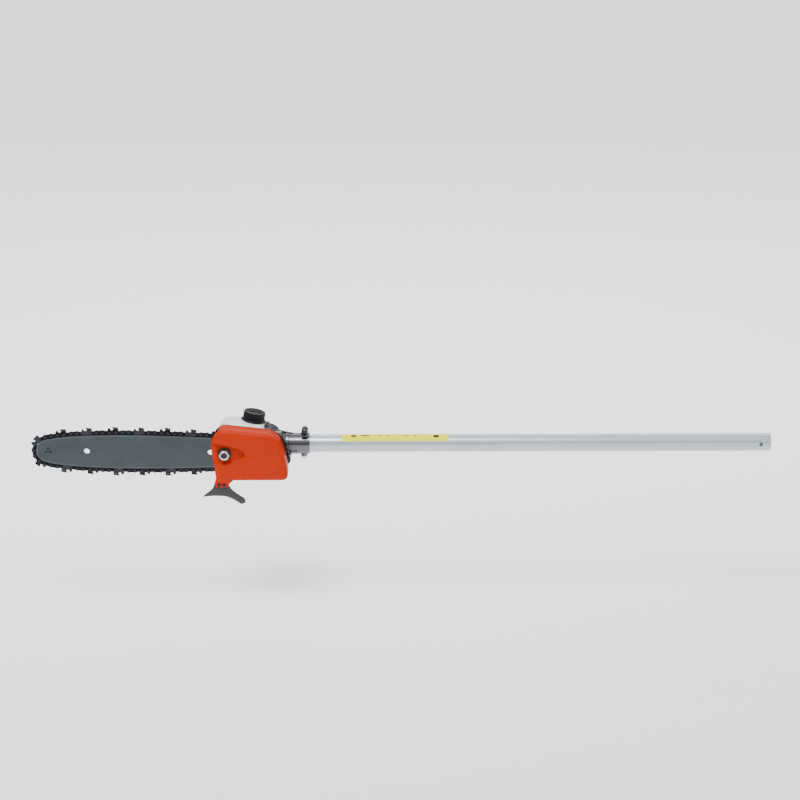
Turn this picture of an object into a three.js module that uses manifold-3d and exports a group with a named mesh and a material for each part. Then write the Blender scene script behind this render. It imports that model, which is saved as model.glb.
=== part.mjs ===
// A pole-saw head on its drive tube. Millimetres, +Z up. The origin is the centre of the tube's free end, the
// saw head lies towards -X, and the sprocket cover faces -Y.
import * as THREE from 'three';
import { mergeVertices } from 'three/addons/utils/BufferGeometryUtils.js';
import Module from 'manifold-3d';

const wasm = await Module();
wasm.setup();

// ---- Driving dimensions ----
const gap = 0.3; // between pieces that seat on each other
const runGap = 0.2; // between a shaft and what it turns in

const tubeRadius = 12.7;
const tubeWall = 1.5;
const tubeLength = 695;
const tubeSeat = 36.5; // sprocket axis to the tube's stop in the gear case
const locatorFromEnd = 14.5; // coupler hole, from the tube's free end
const locatorRadius = 3;
const shaftRadius = 4;
const shaftRecess = 12; // the shaft's tip, inside the tube's free end
const sleeveCount = 3;
const sleeveLength = 28;

const chainPitch = 9.32; // 3/8 inch low profile: rivet to rivet
const drivePockets = 6;
const nosePockets = 7;
const chainHalf = 3.6; // half the chain's width
const rivetRise = 3.75; // rail to rivet axis
const tangDepth = 8.8; // rivet axis to the tang's tip
const chainStart = 13.2; // how far the chain has run from a tang that points at the sprocket's back

const barReach = 310; // sprocket axis to nose axis
const barThickness = 4.2;
const barPlane = -44; // the bar's middle plane, in Y
const barTilt = 0.8 * Math.PI / 180; // the bar's nose stands a little high
const barTail = -34; // the rails' end
const barTailHalf = 20.5;
const grooveWidth = 1.6;
const grooveDepth = 5.7;
const boltFromSprocket = 57;
const boltRadius = 4; // M8

const barrelRadius = 22; // gear case round the spindle
const chamberRadius = 17;
const spindleRadius = 6;
const padFront = -40; // gear-case face behind the bar
const padBack = -27.5;
const neckWall = 2.25; // gear case round the tube
const neckEnd = 63.2;
const coverFront = -58;
const coverRim = -30.3;
const coverWall = 2.2;
const tankBack = 22;
const tankWall = 2;
const capRadius = 18;
const capHeight = 14.3;
const capTilt = 10 * Math.PI / 180;

// ---- Values worked out from them ----
const headReach = tubeLength + tubeSeat;
const boreRadius = tubeRadius + gap;
const neckRadius = boreRadius + neckWall;
const driveRivetRadius = chainPitch / (2 * Math.sin(Math.PI / (2 * drivePockets)));
const noseRivetRadius = chainPitch / (2 * Math.sin(Math.PI / (2 * nosePockets)));
const noseRail = noseRivetRadius - rivetRise;
const barFront = barPlane - barThickness / 2;
const barBack = barPlane + barThickness / 2;

// ---- Solids: three.js makes the shapes, manifold-3d cuts and joins them ----
function toSolid(geometry) {
  if (geometry instanceof wasm.Manifold) return geometry;
  const bare = geometry.clone();
  bare.deleteAttribute('normal');
  bare.deleteAttribute('uv');
  const merged = mergeVertices(bare, 1e-3);
  const corners = [];
  for (let i = 0; i < merged.index.count; i += 3) {
    const [a, b, c] = [0, 1, 2].map((k) => merged.index.getX(i + k));
    if (a !== b && b !== c && c !== a) corners.push(a, b, c);
  }
  const build = (triVerts) => new wasm.Manifold(new wasm.Mesh({
    numProp: 3, vertProperties: merged.attributes.position.array, triVerts: new Uint32Array(triVerts),
  }));
  const made = build(corners);
  return made.volume() < 0 ? build(corners.reverse()) : made;
}

function toGeometry(made) {
  const { vertProperties, triVerts } = made.getMesh();
  const geometry = new THREE.BufferGeometry();
  geometry.setAttribute('position', new THREE.BufferAttribute(vertProperties, 3));
  geometry.setIndex(new THREE.BufferAttribute(triVerts, 1));
  return geometry;
}

const join = (...parts) => parts.map(toSolid).reduce((a, b) => a.add(b));
const cut = (body, ...tools) => tools.map(toSolid).reduce((a, b) => a.subtract(b), toSolid(body));
const common = (a, b) => toSolid(a).intersect(toSolid(b));

const TURN = { x: (g) => g.rotateZ(-Math.PI / 2), y: (g) => g, z: (g) => g.rotateX(Math.PI / 2) };

// A closed profile of [radius, along] points, turned about an axis through the origin.
function turned(axis, profile, sides = 16) {
  const points = [...profile, profile[0]].map(([r, along]) => new THREE.Vector2(r, along));
  return TURN[axis](new THREE.LatheGeometry(points, sides));
}

const rod = (axis, radius, from, to, sides = 12) =>
  turned(axis, [[0, from], [radius, from], [radius, to], [0, to]], sides);
const ring = (axis, inner, outer, from, to, sides = 16) =>
  turned(axis, [[inner, from], [outer, from], [outer, to], [inner, to]], sides);
const box = (x0, x1, y0, y1, z0, z1) =>
  new THREE.BoxGeometry(x1 - x0, y1 - y0, z1 - z0).translate((x0 + x1) / 2, (y0 + y1) / 2, (z0 + z1) / 2);

// An outline of [x, z, corner radius] points in the XZ plane.
function outline(corners) {
  const shape = new THREE.Shape();
  corners.forEach(([x, z, radius], i) => {
    const corner = new THREE.Vector2(x, z);
    const toward = (other) => new THREE.Vector2(other[0], other[1]).sub(corner).setLength(radius).add(corner);
    const enter = toward(corners.at(i - 1));
    const leave = toward(corners[(i + 1) % corners.length]);
    if (i === 0) shape.moveTo(enter.x, enter.y);
    else shape.lineTo(enter.x, enter.y);
    shape.quadraticCurveTo(x, z, leave.x, leave.y);
  });
  shape.closePath();
  return shape;
}

// A shape in XZ as a plate from y0 to y1. grow moves its edge out, and edge rounds its rims.
function plate(shape, y0, y1, { grow = 0, edge = 0, curveSegments = 3, edgeSegments = 2 } = {}) {
  const lip = edge || 0.1;
  const bevelEnabled = edge > 0 || grow !== 0;
  const made = new THREE.ExtrudeGeometry(shape, {
    depth: bevelEnabled ? y1 - y0 - 2 * lip : y1 - y0, steps: 1, curveSegments,
    bevelEnabled, bevelSegments: edge > 0 ? edgeSegments : 1,
    bevelSize: edge, bevelThickness: lip, bevelOffset: grow - edge,
  });
  return made.rotateX(Math.PI / 2).translate(0, bevelEnabled ? y1 - lip : y1, 0);
}

function circle(x, z, radius) {
  const shape = new THREE.Shape();
  shape.absarc(x, z, radius, 0, 2 * Math.PI);
  return shape;
}

// The outline round two circles, joined by their outer tangents.
function link(x0, z0, r0, x1, z1, r1) {
  const away = Math.atan2(z1 - z0, x1 - x0);
  const spread = Math.acos((r0 - r1) / Math.hypot(x1 - x0, z1 - z0));
  const shape = new THREE.Shape();
  shape.absarc(x0, z0, r0, away + spread, away - spread + 2 * Math.PI, false);
  shape.absarc(x1, z1, r1, away - spread, away + spread, false);
  shape.closePath();
  return shape;
}

// ---- Materials ----
const look = (color, roughness, metalness, extra = {}) =>
  () => new THREE.MeshStandardMaterial({ color, roughness, metalness, ...extra });
const anodised = look(0xb9c1c8, 0.35, 0.9);
const castAlloy = look(0x9c9ca0, 0.5, 0.8);
const steel = look(0x8a8f95, 0.35, 1);
const darkSteel = look(0x26282b, 0.45, 0.9);
const barSteel = look(0x59636b, 0.45, 0.8);
const bronze = look(0xa87a3c, 0.4, 0.9);
const rubber = look(0x17181a, 0.9, 0);
const orange = look(0xd8430a, 0.35, 0);
const blackPlastic = look(0x1c1b20, 0.5, 0);
const milky = look(0xeef0ea, 0.3, 0, { transparent: true, opacity: 0.75 });

const saw = new THREE.Group();
const head = new THREE.Group();
head.position.x = -headReach;
const barLine = new THREE.Group();
barLine.rotation.y = barTilt;
head.add(barLine);
saw.add(head);

function add(group, name, shape, material) {
  const mesh = new THREE.Mesh(shape instanceof wasm.Manifold ? toGeometry(shape) : shape, material());
  mesh.name = name;
  group.add(mesh);
  return mesh;
}

// ---- Drive tube and what it holds (placed from the free end, towards -X) ----
function driveTube() {
  const edge = 0.6;
  const inner = tubeRadius - tubeWall;
  const wall = turned('x', [[inner, -tubeLength + gap], [tubeRadius, -tubeLength + gap],
    [tubeRadius, -edge], [tubeRadius - edge, 0], [inner, 0]], 28);
  const locator = rod('y', locatorRadius, -tubeRadius - 2, 0, 14).translate(-locatorFromEnd, 0, 0);
  const pinHole = rod('z', lockRadius + 0.4, -tubeRadius - 2, 0, 12).translate(-headReach + lockAt, 0, 0);
  return cut(wall, locator, pinHole);
}

const lockAt = 55; // locating screw, from the sprocket axis
const lockRadius = 2.4;
const squareHalf = 2.2; // the shaft's squared ends
const squareLength = 16;
const pinionTail = 36; // the pinion's socket mouth

function driveShaft() {
  const low = -headReach + pinionTail + 1;
  const middle = rod('x', shaftRadius, low, -shaftRecess - squareLength, 16);
  const square = (from, to) => box(from, to, -squareHalf, squareHalf, -squareHalf, squareHalf);
  return join(middle, square(low - squareLength, low + 1), square(-shaftRecess - squareLength - 1, -shaftRecess));
}

function shaftSupports() {
  const bushOuter = 6.2;
  const span = tubeLength / sleeveCount;
  for (let i = 0; i < sleeveCount; i += 1) {
    const from = -tubeLength + span * (i + 0.5) - sleeveLength / 2;
    const to = from + sleeveLength;
    const outer = tubeRadius - tubeWall - gap;
    add(saw, `shaft_sleeve_${i + 1}`, ring('x', bushOuter + gap, outer, from, to, 24), rubber);
    add(saw, `shaft_bush_${i + 1}`, ring('x', shaftRadius + runGap, bushOuter, from + 2, to - 2, 20), bronze);
  }
}

// ---- Bevel gears: teeth of straight taper that all run to the crossing of the two axes ----
const gearModule = 1.5;
const pinionTeeth = 14;
const crownTeeth = 20;
const gearFace = 6;
const toothShare = 0.78; // of half the circular pitch, which leaves the backlash
const coneLength = gearModule / 2 * Math.hypot(pinionTeeth, crownTeeth);

// A toothed cone about +Y whose apex is the origin. back is the flat behind the teeth.
function bevelGear(teeth, mateTeeth, hubRadius, back, turn) {
  const cone = Math.atan2(teeth, mateTeeth);
  const rise = gearModule * 0.75;
  const fall = gearModule * 1.05;
  const at = (lift, share) => [
    share * (coneLength * Math.sin(cone) + lift * Math.cos(cone)),
    share * (coneLength * Math.cos(cone) - lift * Math.sin(cone))];
  const inner = (coneLength - gearFace) / coneLength;
  const [rootIn, rootOut] = [at(-fall, inner), at(-fall, 1)];
  const blank = turned('y', [[0, rootIn[1]], rootIn, rootOut, [rootOut[0], Math.max(back - 3, rootOut[1] + 1)],
    [hubRadius, back], [0, back]], teeth);
  const half = toothShare * Math.PI * gearModule / 4;
  const rows = [[-fall - 0.4, half + (fall + 0.4) * 0.36], [rise, half - rise * 0.36]];
  const corners = [];
  for (const share of [inner, 1]) {
    for (const [lift, wide] of rows) {
      const [r, along] = at(lift, share);
      corners.push([r, along, -wide * share], [r, along, wide * share]);
    }
  }
  const faces = [[0, 1, 3, 2], [4, 6, 7, 5], [0, 4, 5, 1], [2, 3, 7, 6], [0, 2, 6, 4], [1, 5, 7, 3]];
  const positions = [];
  for (const [a, b, c, d] of faces) for (const k of [a, b, c, a, c, d]) positions.push(...corners[k]);
  const tooth = new THREE.BufferGeometry();
  tooth.setAttribute('position', new THREE.Float32BufferAttribute(positions, 3));
  const gear = [blank];
  for (let i = 0; i < teeth; i += 1) gear.push(tooth.clone().rotateY(turn + i * 2 * Math.PI / teeth));
  return toGeometry(join(...gear));
}

function inputPinion() {
  const journal = 5;
  const collar = 6.4;
  const gear = bevelGear(pinionTeeth, crownTeeth, collar, 18, Math.PI / pinionTeeth).rotateZ(-Math.PI / 2);
  const stem = rod('x', journal, 17, pinionTail);
  const socket = box(pinionTail - squareLength - 1, pinionTail + 1, -squareHalf - gap, squareHalf + gap,
    -squareHalf - gap, squareHalf + gap);
  return cut(join(gear, stem), socket);
}

const crownBack = 18.5;
const crownGear = () => cut(bevelGear(crownTeeth, pinionTeeth, 9, crownBack, 0),
  rod('y', spindleRadius + gap, 0, crownBack + 1));

// ---- Spindle ----
const spindleTip = -52.5;
const spindleBack = 27.5;
const bearingOuter = 14; // 12 x 28 x 8 ball bearing
const bearingWidth = 8;
const bearingFront = -20; // the front bearing's front face
const bearingRear = 19.6;
const clipGroove = -49.9;

function spindle() {
  const groove = spindleRadius - 1;
  const collar = 8;
  return turned('y', [[0, spindleTip], [spindleRadius - 1, spindleTip], [spindleRadius, spindleTip + 1],
    [spindleRadius, clipGroove - 0.6], [groove, clipGroove - 0.6], [groove, clipGroove + 0.8],
    [spindleRadius, clipGroove + 0.8], [spindleRadius, -11.5], [collar, -11.5], [collar, -9],
    [spindleRadius, -9], [spindleRadius, spindleBack], [0, spindleBack]]);
}

const ballBearing = (axis, bore, outer, from, width) => ring(axis, bore + runGap, outer, from, from + width);

// ---- Oil pump ----
const wormRadius = 8.5;
const pumpDrop = 13.5; // plunger axis, below the spindle's
const pumpY = -34;
const pumpBore = 5.2;
const plungerGear = 4.6;

function oilWorm() {
  const tops = [];
  for (const y of [-37.6, -34]) {
    tops.push([wormRadius - 1.6, y - 0.9], [wormRadius, y - 0.4], [wormRadius, y + 0.4], [wormRadius - 1.6, y + 0.9]);
  }
  const bore = spindleRadius + runGap;
  return turned('y', [[bore, -39.7], [wormRadius - 1.6, -39.7], ...tops, [wormRadius - 1.6, -31.5], [bore, -31.5]]);
}

const pumpBody = () => toGeometry(cut(rod('x', pumpBore - gap, -28, -5, 24), rod('x', 2.7, -29, -4, 16),
  rod('y', 1.4, 0, pumpBore + 1, 8).translate(-24, 0, 0))).translate(0, pumpY, -pumpDrop);

const pumpPlunger = () => turned('x', [[0, -24], [2.5, -24], [2.5, -4.4], [plungerGear, -4.4],
  [plungerGear, 4.4], [3, 5.2], [3, 7], [0, 7]], 14).translate(0, pumpY, -pumpDrop);

// ---- Gear case ----
const padRadius = 24;
const padTailRadius = 19;
const padTailX = -52;
const clampX = 56.2; // pinch bolt
const clampZ = boreRadius + 5.8;
const clampRadius = 3;
const earHalf = 9;
const plugAt = [30, -18];
const tensionAt = [-36.4, -12.6]; // the tension screw's axis, in Y and Z
const tensionRadius = 2.3;
const blockHalf = 4;
const tensionTravel = 8;
const blockX = -46; // the block at rest, in line with the bar's adjusting hole
const tankScrews = [[-46, 10], [-26, 15]];
const rearScrewRadius = 19.5;
const rearScrewAngles = [90, 210, 330];
const portX = -29.5; // oil passage from the tank to the pump
const wormRoom = 14;
const inputBearings = [18.4, 24.8]; // their faces nearest the pinion
const screwSeatX = -66;
const screwHeadRadius = 3.6;
const tankHeadDeep = 3.4;
const bearingBore = 11; // 10 x 22 x 6 ball bearing
const boltZ = boltFromSprocket * Math.sin(barTilt);

const padShape = () => link(0, 0, padRadius, padTailX, boltZ, padTailRadius);

function gearCase() {
  const body = join(
    plate(padShape(), padFront, padBack, { curveSegments: 8 }),
    rod('y', barrelRadius, padFront + 1, 24.2, 28),
    rod('x', neckRadius, 0, neckEnd, 28),
    box(clampX - 5, clampX + 5, -earHalf, earHalf, 8, clampZ + 5.2),
    rod('z', 4.6, -neckRadius - 3, -10, 14).translate(lockAt, 0, 0),
    rod('y', 6.5, -22, -2, 18).translate(plugAt[0], 0, plugAt[1]));
  const chamber = rod('y', chamberRadius, -11.8, 25, 28);
  const bearingSeat = rod('y', bearingOuter + gap / 2, bearingFront - gap, -11, 28);
  const sealSeat = rod('y', 11, -25.5, -19, 24);
  const spindleWay = rod('y', 7.6, -31, -19, 24);
  const room = rod('y', wormRoom, padFront - 1, -30.5, 24);
  const pinionWay = rod('x', 12, 0, inputBearings[0] - 0.2, 28);
  const inputSeat = rod('x', bearingBore + gap / 2, 0, tubeSeat + 0.1, 28);
  const tubeBore = rod('x', boreRadius, tubeSeat, neckEnd + 1, 28);
  const slit = box(46, neckEnd + 1, -1.2, 1.2, 5, clampZ + 8);
  const boltHole = rod('y', clampRadius + gap, -earHalf - 1, earHalf + 1, 14).translate(clampX, 0, clampZ);
  const lockHole = rod('z', lockRadius + gap, -neckRadius - 4, -9, 12).translate(lockAt, 0, 0);
  const plugHole = rod('y', 3, -23, -12, 12).translate(plugAt[0], 0, plugAt[1]);
  const studHole = rod('y', boltRadius + gap / 2, padFront - 1, -29, 18).translate(-boltFromSprocket, 0, boltZ);
  const pumpHole = rod('x', pumpBore, -31, 9, 18).translate(0, pumpY, -pumpDrop);
  const port = rod('y', 1.5, pumpY, padBack + 1, 8).translate(portX, 0, -pumpDrop);
  const [ty, tz] = tensionAt;
  const channel = box(blockX - blockHalf - 1, blockX + tensionTravel + blockHalf + 1, padFront - 1, ty + 3.6,
    tz - blockHalf - gap, tz + blockHalf + gap);
  const screwHole = rod('x', tensionRadius + gap, -75, -33, 8).translate(0, ty, tz);
  const headHole = rod('x', screwHeadRadius + gap, -80, screwSeatX + gap, 12).translate(0, ty, tz);
  const tankHoles = tankScrews.flatMap(([x, z]) => [
    rod('y', 2.3, padFront - 1, padBack + 1, 10).translate(x, 0, z),
    rod('y', 4.2, padFront - 1, padFront + tankHeadDeep, 12).translate(x, 0, z)]);
  const rearHoles = rearScrewAngles.map((a) => rod('y', 1.7, 14, 25, 8).translate(...onCircle(rearScrewRadius, a)));
  const relief = box(34, 46, -18, -11, -8.4, -5.4);
  return cut(body, chamber, bearingSeat, sealSeat, spindleWay, room, pinionWay, inputSeat, tubeBore, slit, boltHole,
    lockHole, plugHole, studHole, pumpHole, port, channel, screwHole, headHole, relief, ...tankHoles, ...rearHoles);
}

function onCircle(radius, degrees) {
  const a = degrees * Math.PI / 180;
  return [radius * Math.cos(a), 0, radius * Math.sin(a)];
}

function rearCap() {
  const spigot = chamberRadius - gap;
  const seat = bearingOuter + gap / 2;
  const cap = turned('y', [[0, 32], [barrelRadius - 4, 32], [barrelRadius, 29.5], [barrelRadius, 24.5], [spigot, 24.5],
    [spigot, 19.8], [seat, 19.8], [seat, 28.4], [0, 28.4]], 28);
  const holes = rearScrewAngles.flatMap((a) => [[1.7, 20], [2.8, 29.5]].map(([radius, from]) =>
    rod('y', radius, from, 33, 8).translate(...onCircle(rearScrewRadius, a))));
  return cut(cap, ...holes);
}

// A screw about an axis: its head from seat to seat + head, and its shank the other way, to tip.
function screw(axis, radius, seat, tip, headRadius, head, sides = 12) {
  const out = Math.sign(seat - tip);
  const socket = turned(axis, [[0, seat + out * head * 0.4], [headRadius * 0.5, seat + out * head * 0.4],
    [headRadius * 0.5, seat + out * (head + 1)], [0, seat + out * (head + 1)]], 6);
  const blank = turned(axis, [[0, tip], [radius, tip], [radius, seat], [headRadius, seat],
    [headRadius, seat + out * head * 0.85], [headRadius * 0.88, seat + out * head], [0, seat + out * head]], sides);
  return toGeometry(cut(blank, socket));
}

// ---- Guide bar: its own group, tilted about the sprocket axis ----
// The upper rail from the nose's arc to the tail, as one smooth curve.
const noseLean = 14 * Math.PI / 180;
function railCurve() {
  const start = new THREE.Vector2(-barReach - noseRail * Math.sin(noseLean), noseRail * Math.cos(noseLean));
  const lift = new THREE.Vector2(Math.cos(noseLean), Math.sin(noseLean)).multiplyScalar(50).add(start);
  const settle = new THREE.Vector2(barTail - 100, barTailHalf + 5);
  return new THREE.CubicBezierCurve(start, lift, settle, new THREE.Vector2(barTail, barTailHalf));
}

// The rail's points moved out by a distance, from nose to tail.
function railPoints(out, count) {
  const curve = railCurve();
  const points = [];
  for (let i = 0; i <= count; i += 1) {
    const at = curve.getPoint(i / count);
    const along = curve.getTangent(i / count);
    points.push(new THREE.Vector2(at.x - along.y * out, at.y + along.x * out));
  }
  return points;
}

function nosePoints(out, count) {
  const radius = noseRail + out;
  const from = Math.PI / 2 + noseLean;
  const points = [];
  for (let i = 1; i < count; i += 1) {
    const a = from + (2 * Math.PI - 2 * from) * i / count;
    points.push(new THREE.Vector2(-barReach + radius * Math.cos(a), radius * Math.sin(a)));
  }
  return points;
}

const mirrored = (points) => points.map((p) => new THREE.Vector2(p.x, -p.y));

function barShape(inset, tailInset) {
  const top = railPoints(-inset, 11);
  const end = barTail + 6 - tailInset;
  const drop = barTailHalf - inset - 6;
  const tail = [new THREE.Vector2(end - 1.6, drop + 4.4), new THREE.Vector2(end, drop)];
  return new THREE.Shape([...top.slice().reverse(), ...nosePoints(-inset, 12), ...mirrored(top),
    ...mirrored(tail), ...tail.slice().reverse()]);
}

const slotFrom = -77.6;
const slotTo = -42;
// A point of the head's frame in the bar's own tilted frame.
const onBar = (x, z) => [x * Math.cos(barTilt) - z * Math.sin(barTilt), x * Math.sin(barTilt) + z * Math.cos(barTilt)];
const pinAt = onBar(blockX, tensionAt[1]); // adjusting hole
const pinRadius = 2.5;
const hangHoleX = -254.6;
const raceRadius = 5.9;
const noseRivets = [90, 210, 330].map((a) => onCircle(3.2, a));

function guideBar() {
  const body = plate(barShape(0, 0), barFront, barBack);
  const [g0, g1] = [barPlane - grooveWidth / 2, barPlane + grooveWidth / 2];
  const pocket = rod('y', 17.4, g0, g1, 18).translate(-barReach, 0, 0);
  const grown = plate(barShape(-2, -2), g0, g1);
  const core = cut(plate(barShape(grooveDepth, 0), g0 - 1, g1 + 1), pocket);
  const groove = cut(grown, core);
  const hole = (x, z, r) => rod('y', r, barFront - 1, barBack + 1, 14).translate(x, 0, z);
  const slot = plate(link(slotTo, 0, boltRadius + 0.1, slotFrom, 0, boltRadius + 0.09), barFront - 1, barBack + 1,
    { curveSegments: 8 });
  const rivetHoles = noseRivets.map(([x, , z]) => hole(-barReach + x, z, 1.2));
  return cut(body, groove, slot, hole(hangHoleX, 0, 4.2), hole(...pinAt, pinRadius + gap),
    hole(pinAt[0], -pinAt[1], pinRadius + gap), ...rivetHoles);
}

function noseRace() {
  const half = grooveWidth / 2 - 0.2;
  const holes = noseRivets.map(([x, , z]) => rod('y', 1.2, -1, 1, 8).translate(x, 0, z));
  return toGeometry(cut(rod('y', raceRadius, -half, half, 28), ...holes)).translate(-barReach, barPlane, 0);
}

function noseRivet([x, , z]) {
  const half = barThickness / 2;
  return turned('y', [[0, -half - 0.6], [1.6, -half - 0.6], [2, -half - 0.25], [1, -half - 0.25], [1, half + 0.25],
    [2, half + 0.25], [1.6, half + 0.6], [0, half + 0.6]], 8).translate(-barReach + x, barPlane, z);
}

// A toothed wheel whose teeth stand between the chain's tangs. turn is the angle of one gap.
function chainWheel(teeth, root, tip, bore, width, turn) {
  const shape = new THREE.Shape();
  const step = 2 * Math.PI / teeth;
  const at = (radius, a) => [radius * Math.cos(a), radius * Math.sin(a)];
  for (let i = 0; i < teeth; i += 1) {
    const middle = turn + (i + 0.5) * step;
    if (i === 0) shape.moveTo(...at(root, middle - 0.3 * step));
    else shape.lineTo(...at(root, middle - 0.3 * step));
    shape.lineTo(...at(tip, middle - 0.11 * step));
    shape.lineTo(...at(tip, middle + 0.11 * step));
    shape.lineTo(...at(root, middle + 0.3 * step));
  }
  shape.closePath();
  shape.holes.push(new THREE.Path().absarc(0, 0, bore, 0, 2 * Math.PI, true));
  return plate(shape, -width / 2, width / 2, { curveSegments: 16 });
}

// ---- Saw chain ----
// The closed line of the rivets: round the sprocket's back, over the bar, round the nose and home.
function chainLine(out) {
  const radius = driveRivetRadius + out;
  const rail = railPoints(rivetRise + out, 20);
  const tail = rail.at(-1);
  const reach = tail.length();
  const touch = tail.angle() - Math.acos(radius / reach);
  const wrap = [];
  for (let i = 0; i <= 6; i += 1) {
    const a = touch * i / 6;
    wrap.push(new THREE.Vector2(radius * Math.cos(a), radius * Math.sin(a)));
  }
  const half = [...wrap, ...rail.slice().reverse()];
  return [...half, ...nosePoints(rivetRise + out, 12), ...mirrored(half).reverse().slice(0, -1)];
}

const rivetLine = new THREE.CurvePath();
chainLine(0).forEach((p, i, all) => rivetLine.add(new THREE.LineCurve(p, all[(i + 1) % all.length])));
const lineLength = rivetLine.getLength();
const rivetCount = 2 * Math.round(lineLength / chainPitch / 2);
const rivetStep = lineLength / rivetCount;

// The place and heading of the chain at a distance along its line.
function onChain(distance) {
  const u = ((distance / lineLength) % 1 + 1) % 1;
  const at = rivetLine.getPointAt(u);
  const ahead = rivetLine.getPointAt((u + 0.004) % 1);
  const behind = rivetLine.getPointAt((u + 0.996) % 1);
  return { x: at.x, z: at.y, heading: Math.atan2(ahead.y - behind.y, ahead.x - behind.x) };
}

// A side profile (along the chain, out from the rivet line) set at a distance, from y0 to y1 across.
function chainPart(profile, distance, y0, y1) {
  const { x, z, heading } = onChain(distance);
  const made = plate(new THREE.Shape(profile.map(([a, out]) => new THREE.Vector2(a, -out))), y0, y1);
  return made.rotateY(-heading).translate(x, barPlane, z);
}

function sawChain() {
  const loop = new THREE.Shape(chainLine(3.3));
  loop.holes.push(new THREE.Path(chainLine(-rivetRise + 0.35)));
  const parts = [plate(loop, barPlane - 2.3, barPlane + 2.3)];
  const tang = [[-4.2, -3], [4.2, -3], [1.2, -tangDepth], [-2.6, -tangDepth]];
  const tooth = [[-8.6, 3], [8.6, 3], [7.6, 6], [5, 6], [3, 4.2], [-0.2, 6.6], [-8, 6]];
  for (let i = 0; i < rivetCount; i += 2) {
    parts.push(chainPart(tang, chainStart + i * rivetStep, -0.55, 0.55));
    if (i % 4 === 0) {
      const side = i % 8 === 0 ? 1 : -1;
      const across = [0.2 * side, chainHalf * side].sort((a, b) => a - b);
      parts.push(chainPart(tooth, chainStart + (i + 1) * rivetStep, ...across));
    }
  }
  return join(...parts);
}

// ---- Sprocket cover ----
// The cover's main outline, from the lower right corner round to the left.
const coverOutline = () => outline([[33.6, -39, 8.5], [33, -19, 6], [26.5, 9, 6], [22, 21, 5], [11, 30, 6],
  [-8, 32.8, 8], [-64, 39, 10], [-73.5, 26, 5], [-76.6, 15, 5], [-75, 0, 6], [-71.4, -26, 4], [-70.6, -39, 8.5]]);
const lugOutline = () => outline([[-70.6, -34, 2.5], [-43, -34, 2.5], [-45.5, -38.9, 2.5], [-51, -42.4, 2.5],
  [-52.6, -47.6, 2.5], [-70.8, -47.6, 2.5]]);
const recessFloor = -52;
const hookHeadDeep = 3.4;
const hookScrews = [[-65.5, -44.2], [-58.2, -44.2]];

function sprocketCover() {
  const shell = cut(
    plate(coverOutline(), coverFront, 0, { edge: 4.5 }),
    plate(coverOutline(), coverFront + coverWall, 0, { grow: -coverWall, edge: 3 }));
  const reach = 200;
  const trimmed = common(shell, box(-reach, reach, coverFront - 1, coverRim, -reach, reach));
  const boltX = -boltFromSprocket;
  const recess = outline([[-90, 21.5, 1], [-72, 18.8, 6], [-34, 9, 6], [-26, 1, 5], [-34, -7.5, 6],
    [-72, -16.8, 6], [-90, -19, 1]]);
  const floor = common(plate(recess, recessFloor - 1.5, recessFloor + coverWall, { grow: 1.8 }),
    plate(coverOutline(), coverFront, 0, { edge: 4.5 }));
  const boss = rod('y', 11, recessFloor + 1, outerPlateFront - gap, 18).translate(boltX, 0, boltZ);
  const lug = plate(lugOutline(), coverFront + 1.2, recessFloor - gap);
  const chainDoor = box(-90, -62, recessFloor + coverWall + gap, 0, -32.5, 35);
  const stud = rod('y', boltRadius + gap, coverFront - 1, 0, 18).translate(boltX, 0, boltZ);
  const dimples = hookScrews.flatMap(([x, z]) => [rod('y', 1.7, coverFront, -50, 8).translate(x, 0, z),
    rod('y', 2.9, coverFront, coverFront + hookHeadDeep, 12).translate(x, 0, z)]);
  const pocket = plate(recess, coverFront - 1, recessFloor);
  return cut(join(cut(join(trimmed, floor), pocket), boss, lug), chainDoor, stud, ...dimples);
}

const hookFront = recessFloor;
const hookBack = -48;
function limbHook() {
  const blade = outline([[-71.5, -40.4, 1], [-53.5, -40.4, 1], [-51, -49.5, 3], [-46, -55.6, 3], [-37.8, -61.8, 4],
    [-29.4, -67.6, 2], [-28, -72.6, 1.5], [-34.5, -75.4, 2], [-47, -66.5, 6], [-58, -62.8, 5], [-76, -62.4, 6],
    [-89.5, -63.8, 0.8], [-75, -52, 4]]);
  const holes = hookScrews.map(([x, z]) => rod('y', 1.7, hookFront - 1, hookBack + 1, 8).translate(x, 0, z));
  return cut(plate(blade, hookFront, hookBack), ...holes);
}

// ---- Plates beside the bar ----
const innerPlateBack = padFront - gap;
const innerPlateFront = barBack + gap;
const outerPlateFront = barFront - gap - 1.1;
const guideShape = () => outline([[-27.5, 15, 4], [-68, 16, 6], [-68, -15.6, 6], [-27.5, -15, 4]]);

function guidePlate(front, back, pinSlot) {
  const hole = rod('y', boltRadius + gap, front - 1, back + 1, 18).translate(-boltFromSprocket, 0, boltZ);
  const slot = plate(link(blockX + tensionTravel, tensionAt[1], pinRadius + 1.1, blockX, tensionAt[1],
    pinRadius + 1.09), front - 1, back + 1, { curveSegments: 6 });
  const made = plate(guideShape(), front, back);
  return pinSlot ? cut(made, hole, slot) : cut(made, hole);
}

// ---- Tensioner ----
function tensionBlock() {
  const [ty, tz] = tensionAt;
  const body = box(blockX - blockHalf, blockX + blockHalf, padFront + gap, ty + 3.2, tz - blockHalf, tz + blockHalf);
  const pin = rod('y', pinRadius, barFront + 0.4, padFront + 1, 12).translate(blockX, 0, tz);
  const thread = rod('x', tensionRadius + gap, blockX - 9, blockX + 9, 12).translate(0, ty, tz);
  return cut(join(body, pin), thread);
}

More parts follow.
